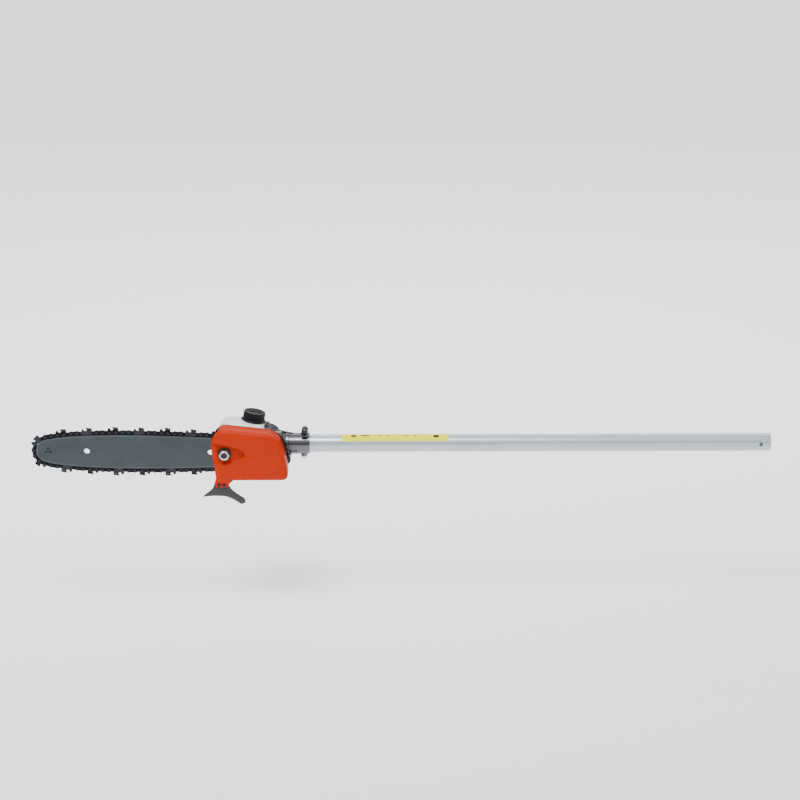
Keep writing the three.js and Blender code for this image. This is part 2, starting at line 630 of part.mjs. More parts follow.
// ---- Back plate ----
const plateScrews = [[-50, 27], [-62, -30]];
function backPlate() {
  const back = padBack - gap;
  const rim = join(plate(coverOutline(), coverRim + gap, back, { grow: -0.4 }),
    rod('y', 31, coverRim + gap, back, 28));
  const opening = plate(link(0, 0, padRadius + 0.4, padTailX, boltZ, padTailRadius + 0.4), -32, back + 1,
    { curveSegments: 8 });
  const holes = plateScrews.map(([x, z]) => rod('y', 1.8, -32, back + 1, 8).translate(x, 0, z));
  return cut(rim, opening, ...holes);
}

// ---- Oil tank ----
const neckAt = [-18.4, 8, 32.4]; // where the filler's axis leaves the tank
const neckInner = 10.6;
const neckOuter = 13;
const tankFront = padBack;
const along = (geometry) => geometry.rotateY(capTilt).translate(...neckAt);
const tankOutline = () => outline([[-70, -33, 8], [-70, 24, 7], [-58, 35, 7], [-33, 35, 8], [-3, 29.7, 6],
  [-3, 0, 6], [-14, -20, 6], [-22, -33, 7]]);

function oilTank() {
  const room = { edge: 4, edgeSegments: 2 };
  const clear = (extra) => rod('y', barrelRadius + 1 + extra, -60, 60, 28);
  const outer = cut(plate(tankOutline(), tankFront, tankBack, room), clear(0));
  const inner = cut(plate(tankOutline(), tankFront + tankWall, tankBack - tankWall,
    { grow: -tankWall, edge: 2, edgeSegments: 1 }), clear(tankWall));
  const neck = along(rod('z', neckOuter, -4, 7.5, 24));
  const mouth = along(rod('z', neckInner, -6, 9, 24));
  const sockets = [...tankScrews, ...plateScrews];
  const bosses = sockets.map(([x, z]) => rod('y', 4.2, tankFront + 0.5, tankFront + 9, 12).translate(x, 0, z));
  const holes = sockets.map(([x, z]) => rod('y', 2.2, tankFront - 1, tankFront + 8, 8).translate(x, 0, z));
  const outlet = rod('y', 3.2, tankFront - 1, tankFront + 4, 12).translate(portX, 0, -pumpDrop);
  return cut(join(cut(join(outer, neck), inner), ...bosses), mouth, outlet, ...holes);
}

function fillerCap() {
  const top = capHeight;
  const cap = along(turned('z', [[0, top], [capRadius - 4.5, top], [capRadius - 2.6, top - 2],
    [capRadius - 2, 2.6], [capRadius, 1.6], [capRadius, 0.8], [neckOuter + 0.6, 0.8], [neckOuter + 0.6, top - 3.2],
    [0, top - 3.2]], 28));
  const flutes = [];
  for (let i = 0; i < 14; i += 1) {
    const flute = rod('z', 1.5, 3.4, top + 1, 6).translate(capRadius - 1.2, 0, 0).rotateZ(i * Math.PI / 7);
    flutes.push(along(flute));
  }
  return cut(cap, ...flutes);
}

const capGasket = () => along(ring('z', neckInner, neckOuter - 0.4, 7.5 + gap, capHeight - 3.2 - gap, 28));

function pickupHose() {
  const route = new THREE.CatmullRomCurve3([[portX, tankFront + 7, -pumpDrop], [portX - 0.5, tankFront + 13, -14.5],
    [-40, tankFront + 22, -23], [-50, tankFront + 24, -26]].map((p) => new THREE.Vector3(...p)));
  const section = circle(0, 0, 2.2);
  section.holes.push(new THREE.Path().absarc(0, 0, 1.2, 0, 2 * Math.PI, true));
  return new THREE.ExtrudeGeometry(section, { extrudePath: route, steps: 10, curveSegments: 5 });
}

// ---- Assembly ----
add(saw, 'drive_tube', driveTube(), anodised);
add(saw, 'drive_shaft', driveShaft(), steel);
shaftSupports();

add(head, 'gear_case', gearCase(), castAlloy);
add(head, 'rear_case_cap', rearCap(), castAlloy);
rearScrewAngles.forEach((a, i) => add(head, `rear_cap_screw_${i + 1}`,
  screw('y', 1.4, 29.8, 16, 2.4, 2.2, 8).translate(...onCircle(rearScrewRadius, a)), steel));
add(head, 'input_pinion', inputPinion(), steel);
inputBearings.forEach((from, i) => add(head, `input_bearing_${i + 1}`,
  ballBearing('x', 5, bearingBore - runGap, from, 6), steel));
add(head, 'bearing_circlip', ring('x', 8.6, bearingBore - 0.1, 31.1, 32.3, 28), darkSteel);
add(head, 'crown_gear', crownGear(), steel);
add(head, 'drive_spindle', spindle(), steel);
add(head, 'spindle_bearing_1', ballBearing('y', spindleRadius, bearingOuter, bearingFront, bearingWidth), steel);
add(head, 'spindle_bearing_2', ballBearing('y', spindleRadius, bearingOuter, bearingRear + gap, bearingWidth), steel);
add(head, 'spindle_seal', ring('y', spindleRadius + runGap, 10.8, -25.2, -20.6), rubber);
add(head, 'oil_worm', oilWorm(), steel);
add(head, 'pump_body', pumpBody(), bronze);
add(head, 'pump_plunger', pumpPlunger(), steel);
const driveTurn = chainStart / driveRivetRadius - barTilt;
add(head, 'drive_sprocket', chainWheel(drivePockets, 8.2, 13.3, spindleRadius + runGap, 6.4, driveTurn)
  .translate(0, barPlane, 0), darkSteel);
add(head, 'sprocket_washer', ring('y', spindleRadius + runGap, 11, -49, -47.6, 28), steel);
add(head, 'sprocket_clip', ring('y', spindleRadius - 0.8, 9, clipGroove - 0.4, clipGroove + 0.6, 24), darkSteel);

add(head, 'bar_stud', rod('y', boltRadius - gap / 2, coverFront - 1.2, -29.4, 24)
  .translate(-boltFromSprocket, 0, boltZ), steel);
add(head, 'inner_guide_plate', guidePlate(innerPlateFront, innerPlateBack, true), steel);
add(head, 'outer_guide_plate', guidePlate(outerPlateFront, barFront - gap, false), steel);
add(head, 'tension_block', tensionBlock(), steel);
add(head, 'tension_screw', screw('x', tensionRadius, screwSeatX, -34, screwHeadRadius, 3)
  .translate(0, tensionAt[0], tensionAt[1]), steel);

add(barLine, 'guide_bar', guideBar(), barSteel);
add(barLine, 'nose_race', noseRace(), steel);
noseRivets.forEach((place, i) => add(barLine, `nose_rivet_${i + 1}`, noseRivet(place), darkSteel));
const noseHeading = onChain(chainStart + rivetStep * 2 * Math.round(rivetCount / 4));
const noseTurn = Math.atan2(noseHeading.z, noseHeading.x + barReach);
add(barLine, 'nose_sprocket', chainWheel(nosePockets, 11.2, 15.4, raceRadius + runGap, 1.1, noseTurn)
  .translate(-barReach, barPlane, 0), steel);
add(barLine, 'saw_chain', sawChain(), darkSteel);

add(head, 'back_plate', backPlate(), blackPlastic);
plateScrews.forEach(([x, z], i) => add(head, `plate_screw_${i + 1}`,
  screw('y', 1.5, coverRim, tankFront + 7, 3.2, 1.8, 8).translate(x, 0, z), steel));
add(head, 'sprocket_cover', sprocketCover(), orange);
add(head, 'limb_hook', limbHook(), castAlloy);
hookScrews.forEach(([x, z], i) => add(head, `hook_screw_${i + 1}`,
  screw('y', 1.4, coverFront + hookHeadDeep - gap, hookBack, 2.5, 1.8, 8).translate(x, 0, z), darkSteel));
const nutSeat = recessFloor - gap;
add(head, 'nut_washer', ring('y', boltRadius + gap, 9.8, nutSeat - 1.6, nutSeat, 24)
  .translate(-boltFromSprocket, 0, boltZ), darkSteel);
const nutBlank = rod('y', 7.5, nutSeat - 8.4, nutSeat - 1.6 - gap, 6);
add(head, 'bar_nut', toGeometry(cut(nutBlank, rod('y', boltRadius + gap, nutSeat - 10, nutSeat)))
  .translate(-boltFromSprocket, 0, boltZ), steel);

add(head, 'oil_tank', oilTank(), milky);
tankScrews.forEach(([x, z], i) => add(head, `tank_screw_${i + 1}`,
  screw('y', 1.9, padFront + tankHeadDeep - gap, tankFront + 7, 3.8, 2.6, 8).translate(x, 0, z), steel));
add(head, 'cap_gasket', capGasket(), rubber);
add(head, 'filler_cap', fillerCap(), blackPlastic);
add(head, 'tank_grommet', ring('y', 1.6, 2.9, tankFront + gap, tankFront + 6, 16)
  .translate(portX, 0, -pumpDrop), rubber);
add(head, 'pickup_hose', pickupHose(), rubber);
add(head, 'oil_filter', turned('x', [[0, -12], [4, -12], [5, -11], [5, -1], [3, 0], [0, 0]], 20)
  .translate(-51, tankFront + 24, -26), look(0xd8d2c0, 0.8, 0));
add(head, 'pinch_bolt', screw('y', clampRadius, -earHalf - gap, earHalf + 6, 5, 6, 20)
  .translate(clampX, 0, clampZ), darkSteel);
add(head, 'locating_screw', screw('z', lockRadius, -neckRadius - 3.3, -tubeRadius + tubeWall, 4, 3.4, 16)
  .translate(lockAt, 0, 0), steel);
add(head, 'grease_plug', screw('y', 2.6, -22.3, -13, 5.6, 3, 14).translate(plugAt[0], 0, plugAt[1]), darkSteel);

export default saw;
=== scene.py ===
"""A pole-saw head on its drive tube, dressed piece by piece in the order it is put together.

Pieces are made in millimetres, about the sprocket's axis, and set in the frame in metres.
"""

import math

import bmesh
import bpy
from mathutils import Matrix, Vector


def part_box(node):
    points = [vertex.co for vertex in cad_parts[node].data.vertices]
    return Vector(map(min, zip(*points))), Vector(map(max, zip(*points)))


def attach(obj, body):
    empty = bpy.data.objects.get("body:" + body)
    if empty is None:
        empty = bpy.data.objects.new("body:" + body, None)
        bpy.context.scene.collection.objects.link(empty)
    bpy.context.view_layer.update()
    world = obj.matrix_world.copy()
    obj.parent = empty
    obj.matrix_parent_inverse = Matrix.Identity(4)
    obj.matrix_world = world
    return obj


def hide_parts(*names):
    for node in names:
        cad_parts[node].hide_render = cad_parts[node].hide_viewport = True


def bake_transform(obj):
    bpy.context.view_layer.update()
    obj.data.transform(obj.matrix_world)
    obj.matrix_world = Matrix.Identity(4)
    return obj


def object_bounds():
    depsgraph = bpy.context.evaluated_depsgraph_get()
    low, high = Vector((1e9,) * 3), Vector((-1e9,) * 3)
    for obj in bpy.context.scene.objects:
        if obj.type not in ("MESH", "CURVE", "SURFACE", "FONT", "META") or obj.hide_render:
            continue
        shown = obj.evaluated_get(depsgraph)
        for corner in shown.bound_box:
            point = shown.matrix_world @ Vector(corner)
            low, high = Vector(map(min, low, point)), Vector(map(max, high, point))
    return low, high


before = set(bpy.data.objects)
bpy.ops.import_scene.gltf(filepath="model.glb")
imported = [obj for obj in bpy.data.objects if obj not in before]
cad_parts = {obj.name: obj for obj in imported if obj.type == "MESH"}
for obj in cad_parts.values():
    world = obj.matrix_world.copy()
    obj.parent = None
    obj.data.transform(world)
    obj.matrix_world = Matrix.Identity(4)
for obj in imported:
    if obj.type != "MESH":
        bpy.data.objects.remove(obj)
cad_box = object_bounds()

MM = 0.001
spindle_low, spindle_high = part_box("drive_spindle")
HEAD_X = (spindle_low[0] + spindle_high[0]) / 2
FROM_TUBE_END = Matrix.Scale(MM, 4)
FROM_SPROCKET = Matrix.Translation((HEAD_X, 0, 0)) @ FROM_TUBE_END


# ---- Drive tube ----
# A drawn aluminium tube, clear anodised. Its free end is turned for the power head's coupler and
# drilled for the coupler's spring pin, and the other end is drilled for the locating screw.
def add_node(tree, kind, vector=None, **values):
    """A new node with its sockets set, such as To_Min for To Min, and a vector fed to it."""
    made = tree.nodes.new("ShaderNode" + kind)
    for socket, value in values.items():
        made.inputs[socket.replace("_", " ")].default_value = value
    if vector is not None:
        tree.links.new(vector, made.inputs["Vector"])
    return made


def new_finish(name):
    """A new material, its node tree, its shader, and the place on the piece that a pattern follows."""
    finish = bpy.data.materials.new(name)
    finish.use_nodes = True
    tree = finish.node_tree
    return finish, tree, tree.nodes["Principled BSDF"], add_node(tree, "TexCoord").outputs["Object"]


def vary_colour(tree, shader, pattern, colour, darker, lighter, positions=(0.3, 0.7)):
    tones = add_node(tree, "ValToRGB")
    for stop, position, factor in zip(tones.color_ramp.elements, positions, (darker, lighter)):
        stop.position = position
        stop.color = (*[min(1, c * factor) for c in colour], 1)
    tree.links.new(pattern, tones.inputs["Fac"])
    tree.links.new(tones.outputs["Color"], shader.inputs["Base Color"])


def vary_gloss(tree, shader, pattern, rough, smoother, rougher):
    gloss = add_node(tree, "MapRange", To_Min=rough * smoother, To_Max=rough * rougher)
    tree.links.new(pattern, gloss.inputs["Value"])
    tree.links.new(gloss.outputs["Result"], shader.inputs["Roughness"])


def emboss(tree, shader, pattern, strength, depth):
    """Raises a pattern on the surface by a depth in millimetres."""
    relief = add_node(tree, "Bump", Strength=strength, Distance=depth * MM)
    tree.links.new(pattern, relief.inputs["Height"])
    tree.links.new(relief.outputs["Normal"], shader.inputs["Normal"])


def metal(name, colour, rough, grain=(1, 1, 1), scale=600.0, depth=0.02, spread=0.12, metallic=0.92):
    """A metal whose fine grain runs along the smallest of its three scales."""
    finish, tree, shader, surface = new_finish(name)
    shader.inputs["Metallic"].default_value = metallic
    drawn = add_node(tree, "Mapping", surface, Scale=grain)
    fine = add_node(tree, "TexNoise", drawn.outputs["Vector"], Scale=scale, Detail=4.0)
    cloud = add_node(tree, "TexNoise", surface, Scale=35.0, Detail=5.0)
    vary_colour(tree, shader, cloud.outputs["Fac"], colour, 1 - spread, 1 + spread)
    vary_gloss(tree, shader, fine.outputs["Fac"], rough, 0.8, 1.25)
    emboss(tree, shader, fine.outputs["Fac"], 0.35, depth)
    return finish


AXES = {"x": Vector((1, 0, 0)), "y": Vector((0, 1, 0)), "z": Vector((0, 0, 1))}
OUT = {"x": Vector((0, 0, 1)), "y": Vector((1, 0, 0)), "z": Vector((1, 0, 0))}


def turned(axis, profile, sides=64, closed=False, centre=(0, 0, 0)):
    """A profile of (radius, along) points, spun about an axis through centre."""
    work = bmesh.new()
    centre = Vector(centre)
    points = [work.verts.new(centre + OUT[axis] * r + AXES[axis] * along) for r, along in profile]
    pairs = list(zip(points, points[1:]))
    if closed:
        pairs.append((points[-1], points[0]))
    edges = [work.edges.new(pair) for pair in pairs]
    bmesh.ops.spin(work, geom=points + edges, cent=centre, axis=AXES[axis], dvec=(0, 0, 0),
                   angle=2 * math.pi, steps=sides, use_merge=True, use_duplicate=False)
    bmesh.ops.remove_doubles(work, verts=work.verts, dist=1e-4)
    bmesh.ops.recalc_face_normals(work, faces=work.faces)
    return work


def rod(axis, radius, start, end, centre=(0, 0, 0), sides=40):
    """A solid cylinder between two places along an axis."""
    return turned(axis, [(0, start), (radius, start), (radius, end), (0, end)], sides, centre=centre)


def block(low, high):
    """A block between two opposite corners."""
    work = bmesh.new()
    bmesh.ops.create_cube(work, size=1.0)
    size = [b - a for a, b in zip(low, high)]
    middle = [(a + b) / 2 for a, b in zip(low, high)]
    bmesh.ops.scale(work, verts=work.verts, vec=size)
    bmesh.ops.translate(work, verts=work.verts, vec=middle)
    return work


def loose_object(work):
    """A mesh as an object that lasts for one step of the work."""
    mesh = bpy.data.meshes.new("working")
    work.to_mesh(mesh)
    work.free()
    held = bpy.data.objects.new("working", mesh)
    bpy.context.scene.collection.objects.link(held)
    return held


def combined(how, work, tools):
    """The first mesh with all the tools taken from it, added to it or kept in common with it."""
    body = loose_object(work)
    cutters = [loose_object(tool) for tool in tools]
    for cutter in cutters:
        step = body.modifiers.new("step", "BOOLEAN")
        step.operation = how
        step.solver = "EXACT"
        step.object = cutter
    bpy.context.view_layer.update()
    made = bmesh.new()
    made.from_object(body, bpy.context.evaluated_depsgraph_get())
    for used in [body, *cutters]:
        mesh = used.data
        bpy.data.objects.remove(used)
        bpy.data.meshes.remove(mesh)
    bmesh.ops.remove_doubles(made, verts=made.verts, dist=1e-3)
    return made


def cut(work, *tools):
    return combined("DIFFERENCE", work, tools)


def join(work, *tools):
    return combined("UNION", work, tools)


def soften(work, width, segments=2, sharper_than=32, only=None):
    """Rounds the edges that are sharper than an angle, or those of them that only() picks."""
    sharp = [e for e in work.edges if e.is_manifold
             and math.degrees(e.calc_face_angle(0)) > sharper_than and (only is None or only(e))]
    bmesh.ops.bevel(work, geom=sharp, offset=width, segments=segments, profile=0.5,
                    affect="EDGES", clamp_overlap=True, material=-1)
    return work


def place(work, name, body, finish, stands_for=(), at=FROM_SPROCKET, smooth=35):
    """Sets a finished mesh in the frame as a piece that rides on a body."""
    bmesh.ops.dissolve_degenerate(work, edges=work.edges, dist=1e-4)
    bmesh.ops.recalc_face_normals(work, faces=work.faces)
    work.transform(at)
    mesh = bpy.data.meshes.new(name)
    work.to_mesh(mesh)
    work.free()
    mesh.polygons.foreach_set("use_smooth", [True] * len(mesh.polygons))
    mesh.set_sharp_from_angle(angle=math.radians(smooth))
    mesh.materials.append(finish)
    piece = bpy.data.objects.new(name, mesh)
    bpy.context.scene.collection.objects.link(piece)
    if body:
        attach(piece, body)
    if stands_for:
        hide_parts(*stands_for)
    return piece


TUBE_R = 12.7
TUBE_BORE = 11.2
TUBE_LENGTH = 694.7
TURNED_R = TUBE_R - 0.22
SPRING_PIN = (-14.5, 0, 0)
SCREW_HOLE = (-676.5, 0, 0)
tube = turned("x", [(TUBE_BORE, -TUBE_LENGTH), (TUBE_R - 0.3, -TUBE_LENGTH),
                    (TUBE_R, -TUBE_LENGTH + 0.3), (TUBE_R, -7.2), (TURNED_R, -6.9), (TURNED_R, -6.1),
                    (TUBE_R, -5.8), (TUBE_R, -0.7), (TUBE_R - 0.25, -0.2), (TUBE_R - 0.7, 0),
                    (TUBE_BORE + 0.2, 0), (TUBE_BORE, -0.25)], sides=96, closed=True)
tube = cut(tube, rod("y", 3, -16, -8, SPRING_PIN), rod("z", 2.8, -16, -8, SCREW_HOLE))
soften(tube, 0.3, 2, sharper_than=55)
anodised = metal("anodised_tube", (0.5, 0.57, 0.63), 0.3, grain=(0.02, 1, 1), scale=900, depth=0.015,
                 spread=0.04, metallic=0.45)
place(tube, "tube_drawn", "root", anodised, ["drive_tube"], at=FROM_TUBE_END,
      smooth=30)


# ---- Label ----
# A printed yellow film stuck on the upper front of the tube near the head. Its small black marks
# stand for generic printing.
def film(name, colour, rough):
    """A printed film, a little faded in places."""
    finish, tree, shader, surface = new_finish(name)
    shader.inputs["Specular IOR Level"].default_value = 0.12
    fade = add_node(tree, "TexNoise", surface, Scale=60.0)
    vary_colour(tree, shader, fade.outputs["Fac"], colour, 0.9, 1.06, positions=(0, 1))
    vary_gloss(tree, shader, fade.outputs["Fac"], rough, 0.85, 1.2)
    return finish


GLUE_THICK = 0.03
FILM_THICK = 0.12
INK_THICK = 0.05
DEGREES_A_STEP = 4


def patch(start, end, low_angle, high_angle, thickness, lift):
    """A piece of film on the tube, between two places along it and two angles up its front."""
    work = bmesh.new()
    a = math.radians(low_angle)
    corners = []
    for r, x in ((TUBE_R + lift, start), (TUBE_R + lift + thickness, start),
                 (TUBE_R + lift + thickness, end), (TUBE_R + lift, end)):
        corners.append(work.verts.new((x, -r * math.cos(a), r * math.sin(a))))
    face = work.faces.new(corners)
    width = high_angle - low_angle
    bmesh.ops.spin(work, geom=[face, *face.edges, *corners], cent=(0, 0, 0), axis=(-1, 0, 0),
                   dvec=(0, 0, 0), angle=math.radians(width), steps=max(2, int(width / DEGREES_A_STEP)),
                   use_merge=False, use_duplicate=False)
    bmesh.ops.recalc_face_normals(work, faces=work.faces)
    return work


def together(parts):
    """Several meshes side by side in one."""
    whole = bmesh.new()
    for part in parts:
        held = bpy.data.meshes.new("working")
        part.to_mesh(held)
        part.free()
        whole.from_mesh(held)
        bpy.data.meshes.remove(held)
    return whole


yellow_film = film("label_yellow", (0.92, 0.9, 0.0), 0.45)
black_print = film("label_print", (0.02, 0.02, 0.02), 0.4)
label = patch(-622, -467, 29, 131, FILM_THICK, GLUE_THICK)
place(label, "tube_label", "root", yellow_film, at=FROM_TUBE_END)
PRINTED = [(-608, -601, 62, 82), (-594, -582, 68, 80), (-489, -481, 56, 82), (-570, -562, 70, 76),
           (-556, -551, 70, 76), (-532, -524, 70, 76), (-518, -514, 70, 76)]
marks = together([patch(*where, INK_THICK, FILM_THICK) for where in PRINTED])
place(marks, "label_marks", "root", black_print, at=FROM_TUBE_END)


# ---- Drive shaft and what carries it ----
# A ground steel shaft with squared ends runs in three sintered bushes, each in a rubber sleeve
# pushed into the tube.
def dress(finish, *names):
    """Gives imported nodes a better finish."""
    for name in names:
        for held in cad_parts[name].material_slots:
            held.material = finish


def moulded(name, colour, rough, scale=900.0, depth=0.03, spread=0.06, shine=0.5, under=0.0):
    """A moulded plastic or rubber with the fine grain of its mould."""
    finish, tree, shader, surface = new_finish(name)
    shader.inputs["Specular IOR Level"].default_value = shine
    shader.inputs["Subsurface Weight"].default_value = under
    shader.inputs["Subsurface Scale"].default_value = 0.004
    grain = add_node(tree, "TexVoronoi", surface, Scale=scale)
    cloud = add_node(tree, "TexNoise", surface, Scale=28.0, Detail=5.0)
    vary_colour(tree, shader, cloud.outputs["Fac"], colour, 1 - spread, 1 + spread)
    vary_gloss(tree, shader, cloud.outputs["Fac"], rough, 0.85, 1.2)
    emboss(tree, shader, grain.outputs["Distance"], 0.3, depth)
    return finish


ground_steel = metal("ground_steel", (0.58, 0.6, 0.62), 0.25, grain=(0.06, 1, 1), scale=800)
black_rubber = moulded("black_rubber", (0.025, 0.025, 0.027), 0.75, scale=500, depth=0.05)
sintered = metal("sintered_bronze", (0.5, 0.32, 0.14), 0.42, scale=1600, depth=0.03)
dress(ground_steel, "drive_shaft")
for number in (1, 2, 3):
    dress(black_rubber, f"shaft_sleeve_{number}")
    dress(sintered, f"shaft_bush_{number}")


# ---- Gear case ----
# A pressure die casting in aluminium, shot-blasted: a barrel for the spindle, a mounting pad for the
# bar, and a split neck with two clamp ears that grips the tube.
def slab(corners, front, back, arc=6, grow=0.0):
    """A plate between two places in Y. Each corner is (x, z, rounding), and grow moves the edge out."""
    work = bmesh.new()
    points = [work.verts.new((x, front, z)) for x, z, _ in corners]
    work.faces.new(points)
    for point, (_, _, rounding) in zip(points, corners):
        if rounding:
            bmesh.ops.bevel(work, geom=[point], offset=rounding, segments=arc, profile=0.5,
                            affect="VERTICES", clamp_overlap=False, material=-1)
    if grow:
        ring = bmesh.ops.inset_region(work, faces=work.faces[:], thickness=-grow, use_even_offset=True,
                                      use_boundary=True)
        bmesh.ops.delete(work, geom=ring["faces"], context="FACES")
    made = bmesh.ops.extrude_face_region(work, geom=work.faces[:])
    moved = [v for v in made["geom"] if isinstance(v, bmesh.types.BMVert)]
    bmesh.ops.translate(work, verts=moved, vec=(0, back - front, 0))
    bmesh.ops.recalc_face_normals(work, faces=work.faces)
    return work


def hulled(*parts):
    """The shell stretched over several meshes, with its flat faces made whole."""
    work = together(parts)
    made = bmesh.ops.convex_hull(work, input=work.verts[:])
    kept = {f for f in made["geom"] if isinstance(f, bmesh.types.BMFace)}
    bmesh.ops.delete(work, geom=[f for f in work.faces if f not in kept], context="FACES")
    bmesh.ops.delete(work, geom=[v for v in work.verts if not v.link_faces], context="VERTS")
    bmesh.ops.dissolve_limit(work, angle_limit=math.radians(1), verts=work.verts, edges=work.edges)
    bmesh.ops.recalc_face_normals(work, faces=work.faces)
    return work


PAD_FRONT = -40
PAD_BACK = -27.5
BOLT = (-57, 0, 0.796)
NECK_R = 15.25
NECK_END = 63.2
PUMP_Y = -34
PUMP_Z = -13.5
TENSION_Y = -36.4
TENSION_Z = -12.6
OIL_PORT = (-29.5, 0, PUMP_Z)
TANK_SCREWS = ((-46, 10), (-26, 15))
THIRDS = (90, 210, 330)
LOCATING_SCREW = (55, 0, 0)
PINCH_BOLT = (56.2, 0, 18.8)
GREASE_PLUG = (30, 0, -18)


def round_y(radius, degrees):
    """A place on a circle about the Y axis."""
    a = math.radians(degrees)
    return (radius * math.cos(a), 0, radius * math.sin(a))


REAR_SCREWS = [round_y(19.5, a) for a in THIRDS]
case = join(
    hulled(rod("y", 24, PAD_FRONT, PAD_BACK, sides=72),
           rod("y", 19, PAD_FRONT, PAD_BACK, (-52, 0, BOLT[2]), sides=60)),
    turned("y", [(0, PAD_FRONT + 1), (22, PAD_FRONT + 1), (22, 24.2), (0, 24.2)], 72),
    turned("x", [(0, 0), (19.5, 0), (19.5, 23.2), (17, 25), (15.6, 28.6), (16.7, 29.2), (16.7, 33),
                 (NECK_R, 33.8), (NECK_R, NECK_END), (0, NECK_END)], 72),
    slab([(51, 8, 0), (61.4, 8, 0), (61.4, 22.8, 4.2), (51, 22.8, 4.2)], -9, 9),
    rod("z", 4.8, -18.2, -8, LOCATING_SCREW),
    rod("y", 6.6, -22, -2, GREASE_PLUG, sides=36),
    slab([(16, -17, 0), (30, -17, 2), (48, -14.5, 2), (48, -10, 0), (16, -10, 0)], -2, 2),
    slab([(16, 10, 0), (44, 10, 0), (40, 15.8, 1), (20, 19.8, 2), (16, 19.8, 0)], -1.6, 1.6),
    *[rod("y", 4.2, 12, 24.2, at, sides=24) for at in REAR_SCREWS])
case = cut(
    case,
    rod("y", 17, -11.8, 26, sides=64), rod("y", 14.15, -20.3, -11, sides=64),
    rod("y", 11, -25.5, -19, sides=48), rod("y", 7.6, -31, -19, sides=40),
    rod("y", 14, PAD_FRONT - 1, -30.5, sides=56), rod("x", 12, 0, 18.2, sides=48),
    rod("x", 11.15, 0, 36.6, sides=56), rod("x", 13, 36.5, NECK_END + 1, sides=72),
    block((46, -1.2, 5), (NECK_END + 1, 1.2, 30)),
    rod("y", 3.3, -12, 12, PINCH_BOLT, sides=24), rod("z", 2.7, -22, -9, LOCATING_SCREW, sides=24),
    rod("y", 3, -24, -12, GREASE_PLUG, sides=24),
    rod("y", 4.15, PAD_FRONT - 1, -29, BOLT, sides=32),
    rod("x", 5.2, -31, 9, (0, PUMP_Y, PUMP_Z), sides=32),
    rod("y", 1.5, PUMP_Y, PAD_BACK + 1, OIL_PORT, sides=16),
    block((-51, PAD_FRONT - 1, TENSION_Z - 4.3), (-33, TENSION_Y + 3.6, TENSION_Z + 4.3)),
    rod("x", 2.6, -75, -33, (0, TENSION_Y, TENSION_Z), sides=24),
    rod("x", 3.9, -80, -65.7, (0, TENSION_Y, TENSION_Z), sides=24),
    block((34, -18, -8.4), (46, -11, -5.4)),
    *[rod("y", 2.3, PAD_FRONT - 1, PAD_BACK + 1, (x, 0, z), sides=20) for x, z in TANK_SCREWS],
    *[rod("y", 4.2, PAD_FRONT - 1, PAD_FRONT + 3.4, (x, 0, z), sides=24) for x, z in TANK_SCREWS],
    *[rod("y", 1.7, 14, 25, at, sides=16) for at in REAR_SCREWS])
soften(case, 0.5, 2, sharper_than=40)
cast_alloy = metal("cast_alloy", (0.14, 0.14, 0.152), 0.23, scale=1400, depth=0.06, spread=0.1,
                   metallic=0.85)
place(case, "case_casting", "root", cast_alloy, ["gear_case"], smooth=38)

# ---- Rear case cap ----
# A die-cast cap with a stepped boss over the rear bearing, held on the barrel by three screws.
cap = turned("y", [(0, 31.2), (9, 31.2), (9.8, 32), (12.4, 32), (13.2, 31.2), (17, 31.2), (18, 32),
                   (19.4, 31.6), (22, 29.5), (22, 24.5), (16.7, 24.5), (16.7, 19.8), (14.15, 19.8),
                   (14.15, 28.4), (0, 28.4)], 72)
cap = join(cap, *[rod("y", 4.2, 24.5, 31.6, at, sides=24) for at in REAR_SCREWS])
cap = cut(cap, *[rod("y", 1.7, 18, 40, at, sides=16) for at in REAR_SCREWS],
          *[rod("y", 2.8, 29.5, 40, at, sides=24) for at in REAR_SCREWS])
soften(cap, 0.3, 2, sharper_than=40)
place(cap, "case_rear_cover", "root", cast_alloy, ["rear_case_cap"], smooth=38)


# ---- Socket-head screws ----
# Cold-headed steel screws with a rolled thread and a six-sided socket: zinc-plated in the case and
# the tank, black on the hook and the clamp.
THREAD_PITCH = 0.8
THREAD_ROOT = 0.86
MOST_TURNS = 40
HOOK_SCREWS = ((-65.5, -44.2), (-58.2, -44.2))
PLATE_SCREWS = ((-50, 27), (-62, -30))


def socket_screw(axis, at, radius, seat, tip, head_radius, head):
    """A screw from its tip to its head's seat along an axis, with a head of a given height."""
    out = 1 if seat > tip else -1
    top = seat + out * head
    profile = [(0, tip), (radius * 0.8, tip), (radius, tip + out * radius * 0.2)]
    turns = min(MOST_TURNS, int((abs(seat - tip) - 1.5) / THREAD_PITCH))
    for i in range(turns):
        start = tip + out * (radius * 0.2 + i * THREAD_PITCH)
        profile += [(radius * THREAD_ROOT, start + out * THREAD_PITCH / 2),
                    (radius, start + out * THREAD_PITCH)]
    profile += [(radius, seat), (head_radius, seat), (head_radius, top - out * 0.5),
                (head_radius * 0.96, top - out * 0.15), (head_radius * 0.86, top), (0, top)]
    shank = turned(axis, profile, 28, centre=at)
    key_radius = head_radius / 2
    key_end = top - out * head * 0.6
    key = turned(axis, [(0, key_end), (key_radius, key_end), (key_radius, top + out), (0, top + out)], 6,
                 centre=at)
    return cut(shank, key)


